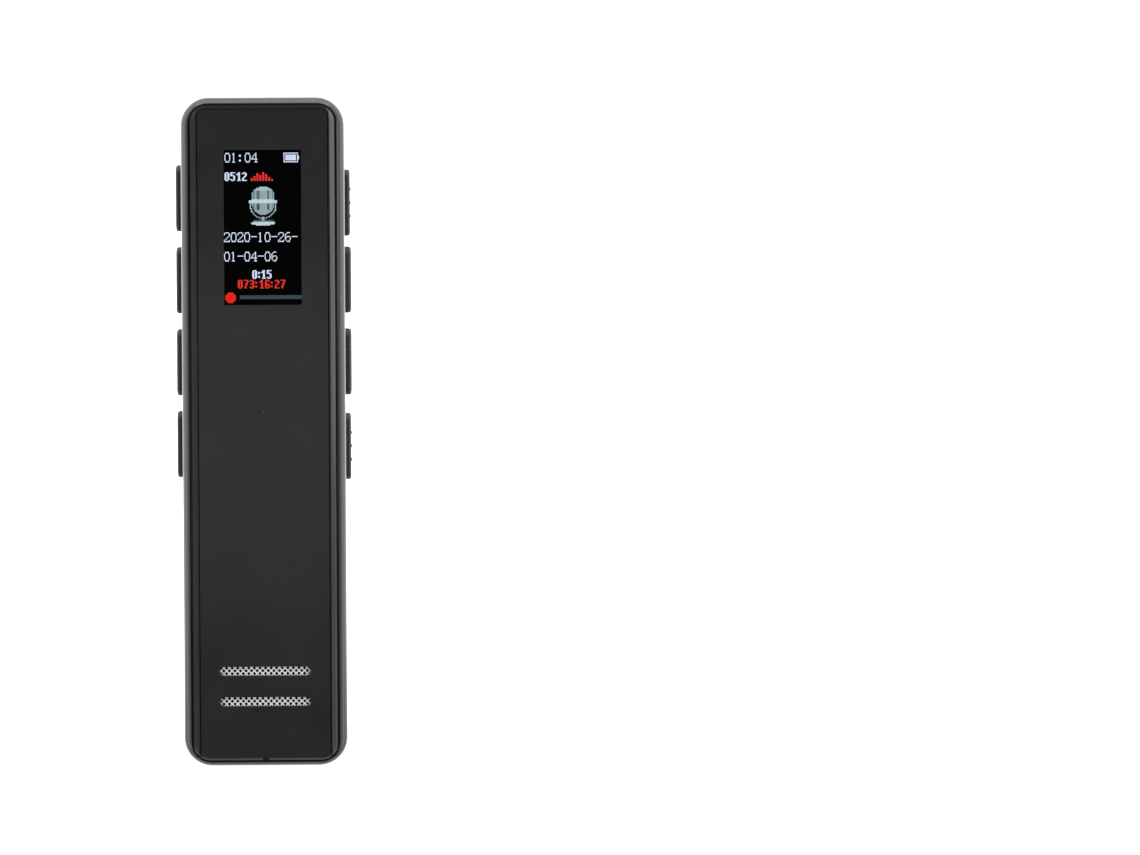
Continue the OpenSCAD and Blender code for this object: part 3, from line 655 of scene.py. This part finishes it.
# %% [markdown]
# ## Keys and sliders
#
# A key is a cap that stands out through the wall, with a wider flange behind the wall that keeps it
# in, and a nub that presses the switch. The whole key is one stack along its own pressing direction:
# nub, flange, cap, rounded edge and a face that bulges very slightly.
#
# Every key is built on the body that the engineering model moves, so the caps sink into the wall when
# they are pressed.

# %% Keys
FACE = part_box("right_key_1")[1].x / MM
FLANGE_IN, FLANGE_OUT, FLANGE_HALF_L, FLANGE_HALF_H = 9.5, 10.2, 5.0, 2.3
NUB_R, NUB_L = 0.8, 0.3
EDGE, EDGE_STEPS, BULGE = 0.35, 8, 0.05
STEP = 0.001  # two outlines at a ledge can't share one height, so this keeps them apart


def cap_ring(inward, z):
    return outline(KEY_HALF_L - inward, KEY_HALF_H - inward, KEY_CORNER - inward, z)


def cap_edge(face):
    """Rounded edge of a cap whose face is at this height."""
    angles = [pi / 2 * step / EDGE_STEPS for step in range(EDGE_STEPS + 1)]
    return [cap_ring(EDGE * (1 - cos(a)), face - EDGE + EDGE * sin(a)) for a in angles]


def key_stack():
    stack = [outline(NUB_R, NUB_R, NUB_R, z) for z in (FLANGE_IN - NUB_L, FLANGE_IN - STEP)]
    stack += [outline(FLANGE_HALF_L, FLANGE_HALF_H, KEY_CORNER, z) for z in (FLANGE_IN, FLANGE_OUT)]
    stack += [cap_ring(0, FLANGE_OUT + STEP)] + cap_edge(FACE - BULGE)
    bulge = [(0.6, 0.03), (0.9, 0.045), (1.15, BULGE)]
    return stack + [cap_ring(d, FACE - BULGE + rise) for d, rise in bulge]


for n in LEFT_KEYS + RIGHT_KEYS:
    side = -1 if n in LEFT_KEYS else 1
    key = as_object("satin_" + n, skin(key_stack(), side_place(side, centre_of(n).y)))
    finish(key, key_black, n + "_body", [n])

# %% [markdown]
# ## Ridges with Geometry Nodes
#
# Each slider has three upright ridges for the thumb. They are the same shape repeated at a fixed
# spacing, which is what Geometry Nodes are good at: a Mesh Line makes the places, Instance on Points
# puts one ridge at each, and the count and the spacing are named inputs of the tree. The last two
# nodes turn the copies into plain mesh and give them their material.

# %% A tree that repeats a shape along Y
def new_tree(name, **inputs):
    """Empty geometry tree with these inputs. Returns the tree, its ends and the input identifiers."""
    tree = bpy.data.node_groups.new(name, "GeometryNodeTree")
    tree.is_modifier = True
    tree.interface.new_socket("Geometry", in_out="OUTPUT", socket_type="NodeSocketGeometry")
    sockets = {}
    for label, kind in inputs.items():
        socket = tree.interface.new_socket(label, in_out="INPUT", socket_type="NodeSocket" + kind)
        sockets[label] = socket.identifier
    return tree, tree.nodes.new("NodeGroupInput"), tree.nodes.new("NodeGroupOutput"), sockets


def close_tree(tree, last, output, source, target):
    """Ends a tree: the last node's copies become mesh, and the mesh gets its material."""
    realize = add_node(tree, "GeometryNodeRealizeInstances")
    paint = add_node(tree, "GeometryNodeSetMaterial")
    wire(tree, (last, output, realize, "Geometry"), (realize, "Geometry", paint, "Geometry"),
         (source, "Material", paint, "Material"), (paint, "Geometry", target, "Geometry"))


def grow(name, tree, sockets, values):
    """Runs a tree with these values and keeps the result as an object with a plain mesh."""
    made = as_object(name)
    step = made.modifiers.new("tree", "NODES")
    step.node_group = tree
    for label, value in values.items():
        step[sockets[label]] = value
    bpy.context.view_layer.update()
    bake_modifiers(made)
    return made


row_tree, row_in, row_out, row_sockets = new_tree(
    "row_along_y", Shape="Object", Count="Int", Spacing="Float", Start="Vector", Material="Material")
step_vector = add_node(row_tree, "ShaderNodeCombineXYZ")
row_line = add_node(row_tree, "GeometryNodeMeshLine")
row_shape = add_node(row_tree, "GeometryNodeObjectInfo")
row_copies = add_node(row_tree, "GeometryNodeInstanceOnPoints")
wire(row_tree, (row_in, "Spacing", step_vector, "Y"), (row_in, "Count", row_line, "Count"),
     (row_in, "Start", row_line, "Start Location"), (step_vector, "Vector", row_line, "Offset"),
     (row_in, "Shape", row_shape, "Object"), (row_line, "Mesh", row_copies, "Points"),
     (row_shape, "Geometry", row_copies, "Instance"))
close_tree(row_tree, row_copies, "Instances", row_in, row_out)

# %% [markdown]
# One ridge is a round bar that stands upright, half sunk in the slider's face, with rounded ends. It is
# made at its final depth and height, so the tree only moves it along Y.

# %% Sliders
RIDGE_R, RIDGE_HALF_H, RIDGE_PITCH = 0.35, 1.3, 1.9
RIDGE_STEPS, ROUND_STEPS = 8, 24
CAP_FACE = FACE - 0.15
FOOT_HALF_L, FOOT_HALF_H, NECK_OUT = 3.8, 1.5, HALF_W - 0.6


def ridge_bar():
    """Round bar that stands upright, half sunk in the slider's face, and is rounded off at both ends."""
    turns = [2 * pi * k / ROUND_STEPS for k in range(ROUND_STEPS)]
    stack = []
    for step in range(-RIDGE_STEPS, RIDGE_STEPS + 1):
        a = pi / 2 * abs(step) / RIDGE_STEPS
        r = RIDGE_R * cos(a) + STEP
        z = RIDGE_HALF_H - RIDGE_R + RIDGE_R * sin(a) if step else 0
        stack.append([(r * cos(t), r * sin(t), z if step > 0 else -z) for t in turns])
    return as_object("ridge", skin(stack, lambda p: (FACE - RIDGE_R + p[0], p[1], KEY_Z + p[2])))


def slider_stack():
    stack = [outline(FOOT_HALF_L, FOOT_HALF_H, 0.3, z) for z in (FLANGE_IN, FLANGE_OUT)]
    stack += [outline(NECK_HALF_L, NECK_HALF_H, 0.2, z) for z in (FLANGE_OUT + STEP, NECK_OUT - STEP)]
    return stack + [cap_ring(0, NECK_OUT)] + cap_edge(CAP_FACE)


for n in SLIDERS:
    y = centre_of(n).y
    knob = as_object("satin_" + n, skin(slider_stack(), side_place(1, y)))
    bar = ridge_bar()
    ridges = grow(n + "_ridges", row_tree, row_sockets, {
        "Shape": bar, "Count": 3, "Spacing": RIDGE_PITCH * MM,
        "Start": (0, (y - RIDGE_PITCH) * MM, 0), "Material": key_black})
    bpy.data.objects.remove(bar)
    finish(knob, key_black, n + "_body", [n])
    finish(ridges, key_black, n + "_body")

# %% [markdown]
# ## Display window
#
# The window is a plain dark plate set flush in the panel, with sharp corners. What shows on it is the
# picture of the display below, so the plate itself must stay nearly black: it has almost no colour and
# very little shine. It lies a few hundredths below the panel, and its edge is slightly broken.

# %% Window plate
WINDOW_GAP, WINDOW_EDGE = 0.02, 0.04
WINDOW_TOP = PANEL_TOP - 0.03
window_rings = [(WINDOW_GAP, PANEL_FOOT), (WINDOW_GAP, WINDOW_TOP - WINDOW_EDGE),
                (WINDOW_GAP + WINDOW_EDGE, WINDOW_TOP)]
window = as_object("dark_display_window", skin([
    outline(WINDOW_HALF_W - d, WINDOW_HALF_L - d, 0.02, z, (0, WINDOW_Y)) for d, z in window_rings]))
finish(window, window_black, "casing", ["display_window"])

# %% [markdown]
# ## The picture on the display
#
# The display has 80 by 160 picture elements. Each lit element is drawn as one tiny bright tile, so the
# digits get the stepped look of a real one. The tiles sit in columns and rows counted from the upper
# left corner.
#
# Digits are given as rows of text where a hash is lit: a thin fount for the clock and the date, and a
# bold one for the counters.

# %% Founts for the display
THIN = {
    "0": ".####. .#..#. #....# #....# #....# #....# #....# #....# .#..#. .####.",
    "1": "..#... .##... ..#... ..#... ..#... ..#... ..#... ..#... ..#... .###..",
    "2": ".####. #....# #....# .....# ....#. ...#.. ..#... .#.... #....# ######",
    "4": "....#. ...##. ..#.#. .#..#. .#..#. #...#. ###### ....#. ....#. ...###",
    "6": "..###. .#.... #..... #..... #.###. ##...# #....# #....# .#..#. ..###.",
    "-": "...... ...... ...... ...... ###### ...... ...... ...... ...... ......",
    ":": "...... ...... .##... .##... ...... ...... ...... .##... .##... ......",
}
BOLD = {
    "0": ".###. ##.## ##.## ##.## ##.## ##.## ##.## ##.## .###.",
    "1": "..##. .###. ####. ..##. ..##. ..##. ..##. ..##. .####",
    "2": ".###. ##.## ...## ...## ..##. .##.. ##... ##... #####",
    "3": ".###. ##.## ...## ...## .###. ...## ...## ##.## .###.",
    "5": "##### ##... ##... ####. ...## ...## ...## ##.## .###.",
    "6": ".###. ##.## ##... ##... ####. ##.## ##.## ##.## .###.",
    "7": "##### ...## ...## ..##. ..##. ..##. .##.. .##.. .##..",
    ":": "..... ..... .##.. .##.. ..... ..... .##.. .##.. .....",
}


def written(digits, fount, column, row, step):
    """Lit elements of a line of digits that starts at this column and row."""
    lit = set()
    for number, sign in enumerate(digits):
        for down, line in enumerate(fount[sign].split()):
            lit |= {(column + number * step + across, row + down)
                    for across, mark in enumerate(line) if mark == "#"}
    return lit


def block(column, row, columns, rows):
    return {(column + i, row + j) for i in range(columns) for j in range(rows)}


fine = written("01:04", THIN, 1, 3, 7) | written("2020-10-26-", THIN, 0, 85, 7)
fine |= written("01-04-06", THIN, 0, 105, 7)
white = written("0512", BOLD, 1, 23, 6) | written("0", BOLD, 29, 124, 6)
white |= written(":", BOLD, 34, 124, 6) | written("15", BOLD, 38, 124, 6)
white |= block(62, 3, 15, 10) - block(63, 4, 13, 8) | block(64, 5, 11, 6) | block(77, 6, 1, 4)
red = written("073", BOLD, 14, 134, 6) | written(":", BOLD, 31, 134, 6)
red |= written("16", BOLD, 36, 134, 6) | written(":", BOLD, 47, 134, 6) | written("27", BOLD, 52, 134, 6)
for bar, height in enumerate((3, 5, 8, 6, 9, 7, 4, 2)):
    red |= block(28 + 3 * bar, 32 - height, 2, height)
dot = {(c, r) for c, r in block(0, 146, 14, 14) if (c - 6)**2 + (r - 152)**2 < 5.5**2}
slate = block(16, 150, 64, 4)
print(len(fine) + len(white), "white,", len(red) + len(dot), "red and", len(slate), "slate elements")

# %% [markdown]
# The microphone in the middle is shaded, so every element of it gets a tone of its own. A few simple
# rules draw it: a domed head with vertical bars, a bright band across, a thin hoop round its lower half,
# a short stem and an oval foot. Every tone is one of six steps, with one material for each.

# %% Microphone picture
def tone(x, y):
    """Brightness of the microphone at x columns from its middle and y rows from its top, or None."""
    out = abs(x)
    bars = 0.76 if out < 4 else 0.5 if out < 6.4 else 0.76 if out < 9 else 0.62 if out < 10.4 else 0.76
    if y < 13:
        if out > 11.7 * sqrt(1 - max(0, 1 - y / 9)**2):
            return None
        return 0.86 if y < 4 else bars
    if y < 17:
        return 0.96 if out < 14.6 and (y > 14 or out < 11.7) else None
    if y < 35 and out < 1.6 and y > 30.5:
        return 0.76
    if y < 33:
        if out < 11.7 * sqrt(max(0, 1 - ((y - 17) / 12)**2)):
            return 0.76 if y > 24.4 else 0.36 if 4 < out < 6.4 and y > 19 else bars
        reach = 13.7 * sqrt(1 - max(0, (y - 20) / 13)**2)
        if reach - 1.3 - max(0, y - 27) / 3 < out < reach:
            return 0.86 if y < 26 or int(out + y) % 2 else 0.36
        return None
    if y < 36:
        return 0.36 if y > 34 and out < 10 else None
    return 0.96 if (x / 12.6)**2 + ((y - 37.6) / 2.4)**2 <= 1 else None


TONES = (0.36, 0.5, 0.62, 0.76, 0.86, 0.96)
microphone = {level: set() for level in TONES}
for column, row in block(25, 38, 32, 41):
    value = tone(column + 0.5 - 40.7, row + 0.5 - 38)
    if value:
        microphone[min(TONES, key=lambda level: abs(level - value))].add((column, row))
print({level: len(cells) for level, cells in microphone.items()})

# %% [markdown]
# Geometry Nodes place the tiles. The script gives them one loose point for each lit element, and the
# tree puts a small box on every point. The box is six faces, so even a thousand tiles stay light.

# %% Tiles on points
tile_tree, tile_in, tile_out, tile_sockets = new_tree(
    "tiles_on_points", Points="Object", Tile="Vector", Material="Material")
tile_points = add_node(tile_tree, "GeometryNodeObjectInfo")
tile_box = add_node(tile_tree, "GeometryNodeMeshCube")
tile_copies = add_node(tile_tree, "GeometryNodeInstanceOnPoints")
wire(tile_tree, (tile_in, "Points", tile_points, "Object"), (tile_in, "Tile", tile_box, "Size"),
     (tile_points, "Geometry", tile_copies, "Points"), (tile_box, "Mesh", tile_copies, "Instance"))
close_tree(tile_tree, tile_copies, "Instances", tile_in, tile_out)

STEP_X, STEP_Y = 2 * WINDOW_HALF_W / 80, 2 * WINDOW_HALF_L / 160  # size of a picture element
TILE_T = 0.02


def lit_material(name, colour, strength):
    """Glowing tile. The glow varies a little from element to element, as a backlight does."""
    material = surface(name, colour, 0.5, grain_mm=0.8, spread=0.06, specular=0.1)
    tree = material.node_tree
    shader = tree.nodes["Principled BSDF"]
    tones = shader.inputs["Base Color"].links[0].from_node
    wire(tree, (tones, "Color", shader, "Emission Color"))
    tree.links.remove(shader.inputs["Base Color"].links[0])
    shader.inputs["Base Color"].default_value = (0.004, 0.004, 0.004, 1)
    shader.inputs["Emission Strength"].default_value = strength
    return material


def draw_elements(name, elements, material, size=0.96):
    """One tile for each lit element. size is the share of an element's width that its tile fills."""
    places = [((-WINDOW_HALF_W + (c + 0.5) * STEP_X) * MM,
               (WINDOW_Y + WINDOW_HALF_L - (r + 0.5) * STEP_Y) * MM,
               (WINDOW_TOP + TILE_T / 4) * MM) for c, r in sorted(elements)]
    cloud = bpy.data.meshes.new("points")
    cloud.from_pydata(places, [], [])
    holder = bpy.data.objects.new("points", cloud)
    scene.collection.objects.link(holder)
    tile = (STEP_X * size * MM, STEP_Y * size * MM, TILE_T * MM)
    tiles = grow(name, tile_tree, tile_sockets, {"Points": holder, "Tile": tile, "Material": material})
    bpy.data.objects.remove(holder)
    finish(tiles, material, "casing")


lit_white = lit_material("lit_white", (0.68, 0.77, 1.0), 1.3)
draw_elements("display_fine_digits", fine, lit_white, 0.86)
draw_elements("display_bold_digits", white, lit_white, 0.85)
draw_elements("display_red", red, lit_material("lit_red", (0.8, 0.03, 0.02), 1.15), 0.9)
draw_elements("display_dot", dot, lit_material("lit_dot", (0.74, 0.012, 0.005), 1.05))
draw_elements("display_slate", slate, lit_material("lit_slate", (0.034, 0.058, 0.075), 1.0))
for level, cells in microphone.items():
    colour = [share * level**2.4 for share in (0.68, 0.93, 1)]
    draw_elements(f"display_tone_{round(100 * level)}", cells,
                  lit_material(f"lit_tone_{round(100 * level)}", colour, 0.82))

# %% [markdown]
# ## Speaker mesh
#
# Behind each slot sits a pressed metal mesh. Its holes are diamonds in a staggered pattern, and the
# metal between them is rounded by the press. It is made the way the press makes it: a tray, and a
# cutter that is a whole lattice of diamond punches with flared tops.
#
# The lattice is a grid of points where only every second point carries a punch. Numbering the points
# from zero, the even ones form exactly the staggered rows.

# %% Grid tree
grid_tree, grid_in, grid_out, grid_sockets = new_tree(
    "copies_on_grid", Shape="Object", Columns="Int", Rows="Int", Width="Float", Length="Float",
    Staggered="Float", Centre="Vector", Material="Material")
grid = add_node(grid_tree, "GeometryNodeMeshGrid")
number = add_node(grid_tree, "GeometryNodeInputIndex")
parity = add_node(grid_tree, "ShaderNodeMath", {1: 2}, operation="MODULO")
skipped = add_node(grid_tree, "ShaderNodeMath", operation="MULTIPLY")
kept = add_node(grid_tree, "ShaderNodeMath", {1: 0.5}, operation="LESS_THAN")
grid_shape = add_node(grid_tree, "GeometryNodeObjectInfo")
grid_copies = add_node(grid_tree, "GeometryNodeInstanceOnPoints")
moved = add_node(grid_tree, "GeometryNodeTransform")
wire(grid_tree, (grid_in, "Columns", grid, "Vertices X"), (grid_in, "Rows", grid, "Vertices Y"),
     (grid_in, "Width", grid, "Size X"), (grid_in, "Length", grid, "Size Y"),
     (number, "Index", parity, 0), (parity, "Value", skipped, 0), (grid_in, "Staggered", skipped, 1),
     (skipped, "Value", kept, 0), (grid_in, "Shape", grid_shape, "Object"),
     (grid, "Mesh", grid_copies, "Points"), (kept, "Value", grid_copies, "Selection"),
     (grid_shape, "Geometry", grid_copies, "Instance"), (grid_copies, "Instances", moved, "Geometry"),
     (grid_in, "Centre", moved, "Translation"))
close_tree(grid_tree, moved, "Geometry", grid_in, grid_out)

# %% [markdown]
# The cell size comes from the real spacing of the diamonds, and the flare of the punch leaves a narrow
# ridge between two holes, which is what catches the light. The two pieces of mesh are cut from the same
# sheet half a cell apart. The upper one gets two columns more: that makes the number of steps from its
# middle to its end odd, which shifts the pattern.

# %% Mesh caps
CELL, HOLE, FLARE, FLARE_DEPTH = 0.784, 0.4, 0.1, 0.09
MESH_ROWS = 5
MESH_TOP, MESH_T, MESH_EDGE = mesh_high.z, 0.25, 0.25
CAP_X, CAP_Y, CAP_CORNER = mesh_high.x, (mesh_high.y - mesh_low.y) / 2, 0.85


def diamond(side, z):
    d = side / sqrt(2)
    return [(d, 0, z), (0, d, z), (-d, 0, z), (0, -d, z)]


punch_rings = [(0, -0.5), (0, -FLARE_DEPTH)]
punch_rings += [(FLARE * (1 - cos(a)), FLARE_DEPTH * (sin(a) - 1)) for a in (pi / 8, pi / 4, 3 * pi / 8)]
punch_rings += [(FLARE, 0.02), (FLARE, 0.3)]
for n, name, columns in zip(meshes, ("upper_grille_mesh", "lower_grille_mesh"), (35, 33)):
    punch = as_object("punch", skin([diamond(HOLE + g, z) for g, z in punch_rings]))
    punches = grow("punches", grid_tree, grid_sockets, {
        "Shape": punch, "Columns": columns, "Rows": MESH_ROWS,
        "Width": (columns - 1) * CELL / 2 * MM, "Length": (MESH_ROWS - 1) * CELL / 2 * MM,
        "Staggered": 1.0, "Centre": (0, n.y * MM, MESH_TOP * MM), "Material": mesh_painted_sheen})
    bpy.data.objects.remove(punch)
    tray = [outline(CAP_X - d, CAP_Y - d, CAP_CORNER - d, z, (0, n.y)) for d, z in (
        (MESH_EDGE, MESH_TOP - MESH_T), (MESH_EDGE, PANEL_FOOT), (0, PANEL_FOOT), (0, MESH_TOP - 0.08),
        (0.03, MESH_TOP - 0.02), (0.08, MESH_TOP))]
    mesh_cap = as_object("pressed_" + name, skin(tray))
    carve(mesh_cap, [punches])
    finish(mesh_cap, mesh_painted_sheen, "casing", [name], sharp=50)

# %% [markdown]
# ## Screws and socket
#
# The four case screws are small blackened pan heads with a cross recess. One screw is modelled, and
# the same grid tree puts it in all four recesses. The recess is cut by two narrow wedges.
#
# The headphone socket ends in a nickel bushing with a rounded lip, which shows as a bright ring at the
# top end.

# %% Case screws
screw_low, screw_high = box_mm("case_screws")
HEAD_LOW, HEAD_R, SHANK_R = screw_low.z, 1.2, 0.6
head = [(HEAD_R - 0.22, HEAD_LOW), (HEAD_R - 0.1, HEAD_LOW + 0.05), (HEAD_R - 0.03, HEAD_LOW + 0.14),
        (HEAD_R, HEAD_LOW + 0.28), (HEAD_R, HEAD_LOW + 0.7), (SHANK_R, HEAD_LOW + 0.701),
        (SHANK_R, screw_high.z - 0.3), (SHANK_R - 0.25, screw_high.z)]
screw = as_object("screw", skin([outline(r, r, r, z) for r, z in head]))
for top, bottom in (((0.7, 0.14), (0.4, 0.09)), ((0.14, 0.7), (0.09, 0.4))):
    wedge = [outline(*top, 0.02, HEAD_LOW - 0.5), outline(*top, 0.02, HEAD_LOW),
             outline(*bottom, 0.02, HEAD_LOW + 0.35)]
    carve(screw, [as_object("cutter", skin(wedge))])
screws = grow("pan_head_screws", grid_tree, grid_sockets, {
    "Shape": screw, "Columns": 2, "Rows": 2, "Width": 2 * SCREW_X * MM, "Length": 2 * SCREW_Y * MM,
    "Staggered": 0.0, "Centre": (0, 0, 0), "Material": screw_black})
bpy.data.objects.remove(screw)
finish(screws, screw_black, "casing", ["case_screws"])

# %% [markdown]
# The bushing is a lathe-turned ring, drawn as a stack of circles that stands out of the top end: up the
# outside, over the lip and down the bore.

# %% Headphone bushing
bushing_low, bushing_high = box_mm("jack_bushing")
B_START, B_END, B_R, BORE_R = bushing_low.y, bushing_high.y, bushing_high.x, 1.8
lip = [(BORE_R, B_START), (B_R, B_START), (B_R, B_END - 0.12), (B_R - 0.04, B_END - 0.04),
       (B_R - 0.12, B_END), (BORE_R + 0.3, B_END), (BORE_R + 0.1, B_END - 0.08), (BORE_R, B_END - 0.3)]
TURNED_STEPS = 64
bushing_bm = bmesh.new()
circles = [[bushing_bm.verts.new(Vector((r * cos(a), y, jack.z + r * sin(a))) * MM)
            for a in (2 * pi * k / TURNED_STEPS for k in range(TURNED_STEPS))] for r, y in lip]
for here, there in zip(circles, circles[1:] + circles[:1]):
    for i in range(TURNED_STEPS):
        j = (i + 1) % TURNED_STEPS
        bushing_bm.faces.new((here[i], here[j], there[j], there[i]))
bmesh.ops.recalc_face_normals(bushing_bm, faces=bushing_bm.faces)
bushing = as_object("turned_jack_bushing", bushing_bm)
finish(bushing, nickel, "casing", ["jack_bushing"])

# %% [markdown]
# ## Floor, room and lights
#
# The recorder lies on a plain pale table that glows from below, so that its shadow stays faint and its
# polished edge shines white. The glow is weaker at the foot.
#
# Polished black shows the room like a mirror, so the room is what has to be right. Straight above it is
# dark, which keeps the panel black. Towards the horizon it is bright, which lights the table and draws
# the pale lines along the rounded edges. The end of the room at the recorder's foot is darker than the
# rest.

# %% Floor and room
FLOOR_HALF = 3  # metres
FLOOR_Z = -0.05 * MM  # a hair below the recorder's back
floor_mesh = bpy.data.meshes.new("floor")
floor_mesh.from_pydata([(x * FLOOR_HALF, y * FLOOR_HALF, FLOOR_Z)
                        for x, y in ((-1, -1), (1, -1), (1, 1), (-1, 1))], [], [(0, 1, 2, 3)])
floor = bpy.data.objects.new("floor", floor_mesh)
scene.collection.objects.link(floor)
pale_floor = surface("pale_floor", (0.9, 0.9, 0.9), 0.9, grain_mm=30, spread=0.01, specular=0.05)
floor_tree = pale_floor.node_tree
glow = floor_tree.nodes["Principled BSDF"]
spot = add_node(floor_tree, "ShaderNodeTexCoord")
axes = add_node(floor_tree, "ShaderNodeSeparateXYZ")
fade = add_node(floor_tree, "ShaderNodeMapRange", {"From Min": -0.05, "From Max": -0.03, "To Min": 0.32})
wire(floor_tree, (spot, "Object", axes, "Vector"), (axes, "Y", fade, "Value"),
     (fade, "Result", glow, "Emission Color"))
glow.inputs["Emission Strength"].default_value = 1.9
floor_mesh.materials.append(pale_floor)

# brightness of the room at heights from the horizon, 0, to straight above, 1
stops = [(0.0, 3.6), (0.17, 3.5), (0.37, 2.5), (0.56, 1.6), (0.7, 0.75), (0.8, 0.55), (0.87, 0.32),
         (0.99, 0.3)]
BRIGHTEST = stops[0][1]
world = bpy.data.worlds.new("room")
scene.world = world
world.use_nodes = True
room = world.node_tree
background = room.nodes["Background"]
background.inputs["Strength"].default_value = BRIGHTEST
direction = add_node(room, "ShaderNodeTexCoord")
parts = add_node(room, "ShaderNodeSeparateXYZ")
ramp = add_node(room, "ShaderNodeValToRGB")
ramp.color_ramp.elements.remove(ramp.color_ramp.elements[1])
for number, (height, level) in enumerate(stops):
    stop = ramp.color_ramp.elements[0] if number == 0 else ramp.color_ramp.elements.new(height)
    stop.position = height
    stop.color = [level / BRIGHTEST] * 3 + [1]
dark_end = add_node(room, "ShaderNodeMapRange", {"From Min": -0.75, "From Max": -0.25, "To Min": 0.12})
shade = add_node(room, "ShaderNodeVectorMath", operation="SCALE")
wire(room, (direction, "Generated", parts, "Vector"), (parts, "Z", ramp, "Fac"),
     (parts, "Y", dark_end, "Value"), (ramp, "Color", shade, 0), (dark_end, "Result", shade, "Scale"),
     (shade, "Vector", background, "Color"))

# %% [markdown]
# Soft lights complete the room. A broad one and two long strips on the right show in the sloped edge
# of the panel: the slope's upper part mirrors all of them, its lower part only the strips. A wide one
# beyond the top end brightens the rounded rim there, a shallow one at the foot catches only the narrow
# foot chamfer, and a faint card overhead lifts the middle of the panel. A lamp's size_y runs up and
# down as it hangs, and its size runs level.

# %% Lights
def softbox(name, width, length, place, brightness, aim=(0, 0, 5)):
    """Area light of a given brightness. Its power follows from its size."""
    data = bpy.data.lights.new(name, "AREA")
    data.shape, data.size, data.size_y = "RECTANGLE", width, length
    data.energy = brightness * pi * width * length
    lamp = bpy.data.objects.new(name, data)
    lamp.location = Vector(place) * MM
    lamp.rotation_euler = (Vector(aim) * MM - lamp.location).to_track_quat("-Z", "Y").to_euler()
    lamp.visible_camera = False
    scene.collection.objects.link(lamp)


softbox("right_softbox", 0.7, 0.34, (650, 300, 800), 2.0)
softbox("right_strip_inner", 1.2, 0.04, (600, -60, 820), 1.4)
softbox("right_strip_outer", 1.2, 0.1, (730, -60, 820), 1.4)
softbox("top_softbox", 1.2, 0.5, (0, 950, 350), 1.8)
softbox("foot_softbox", 1.0, 0.16, (0, -735, 850), 1.5)
softbox("overhead_card", 0.8, 0.12, (0, -54, 1200), 0.3, (0, -54, 0))
scene.view_settings.view_transform = "Standard"
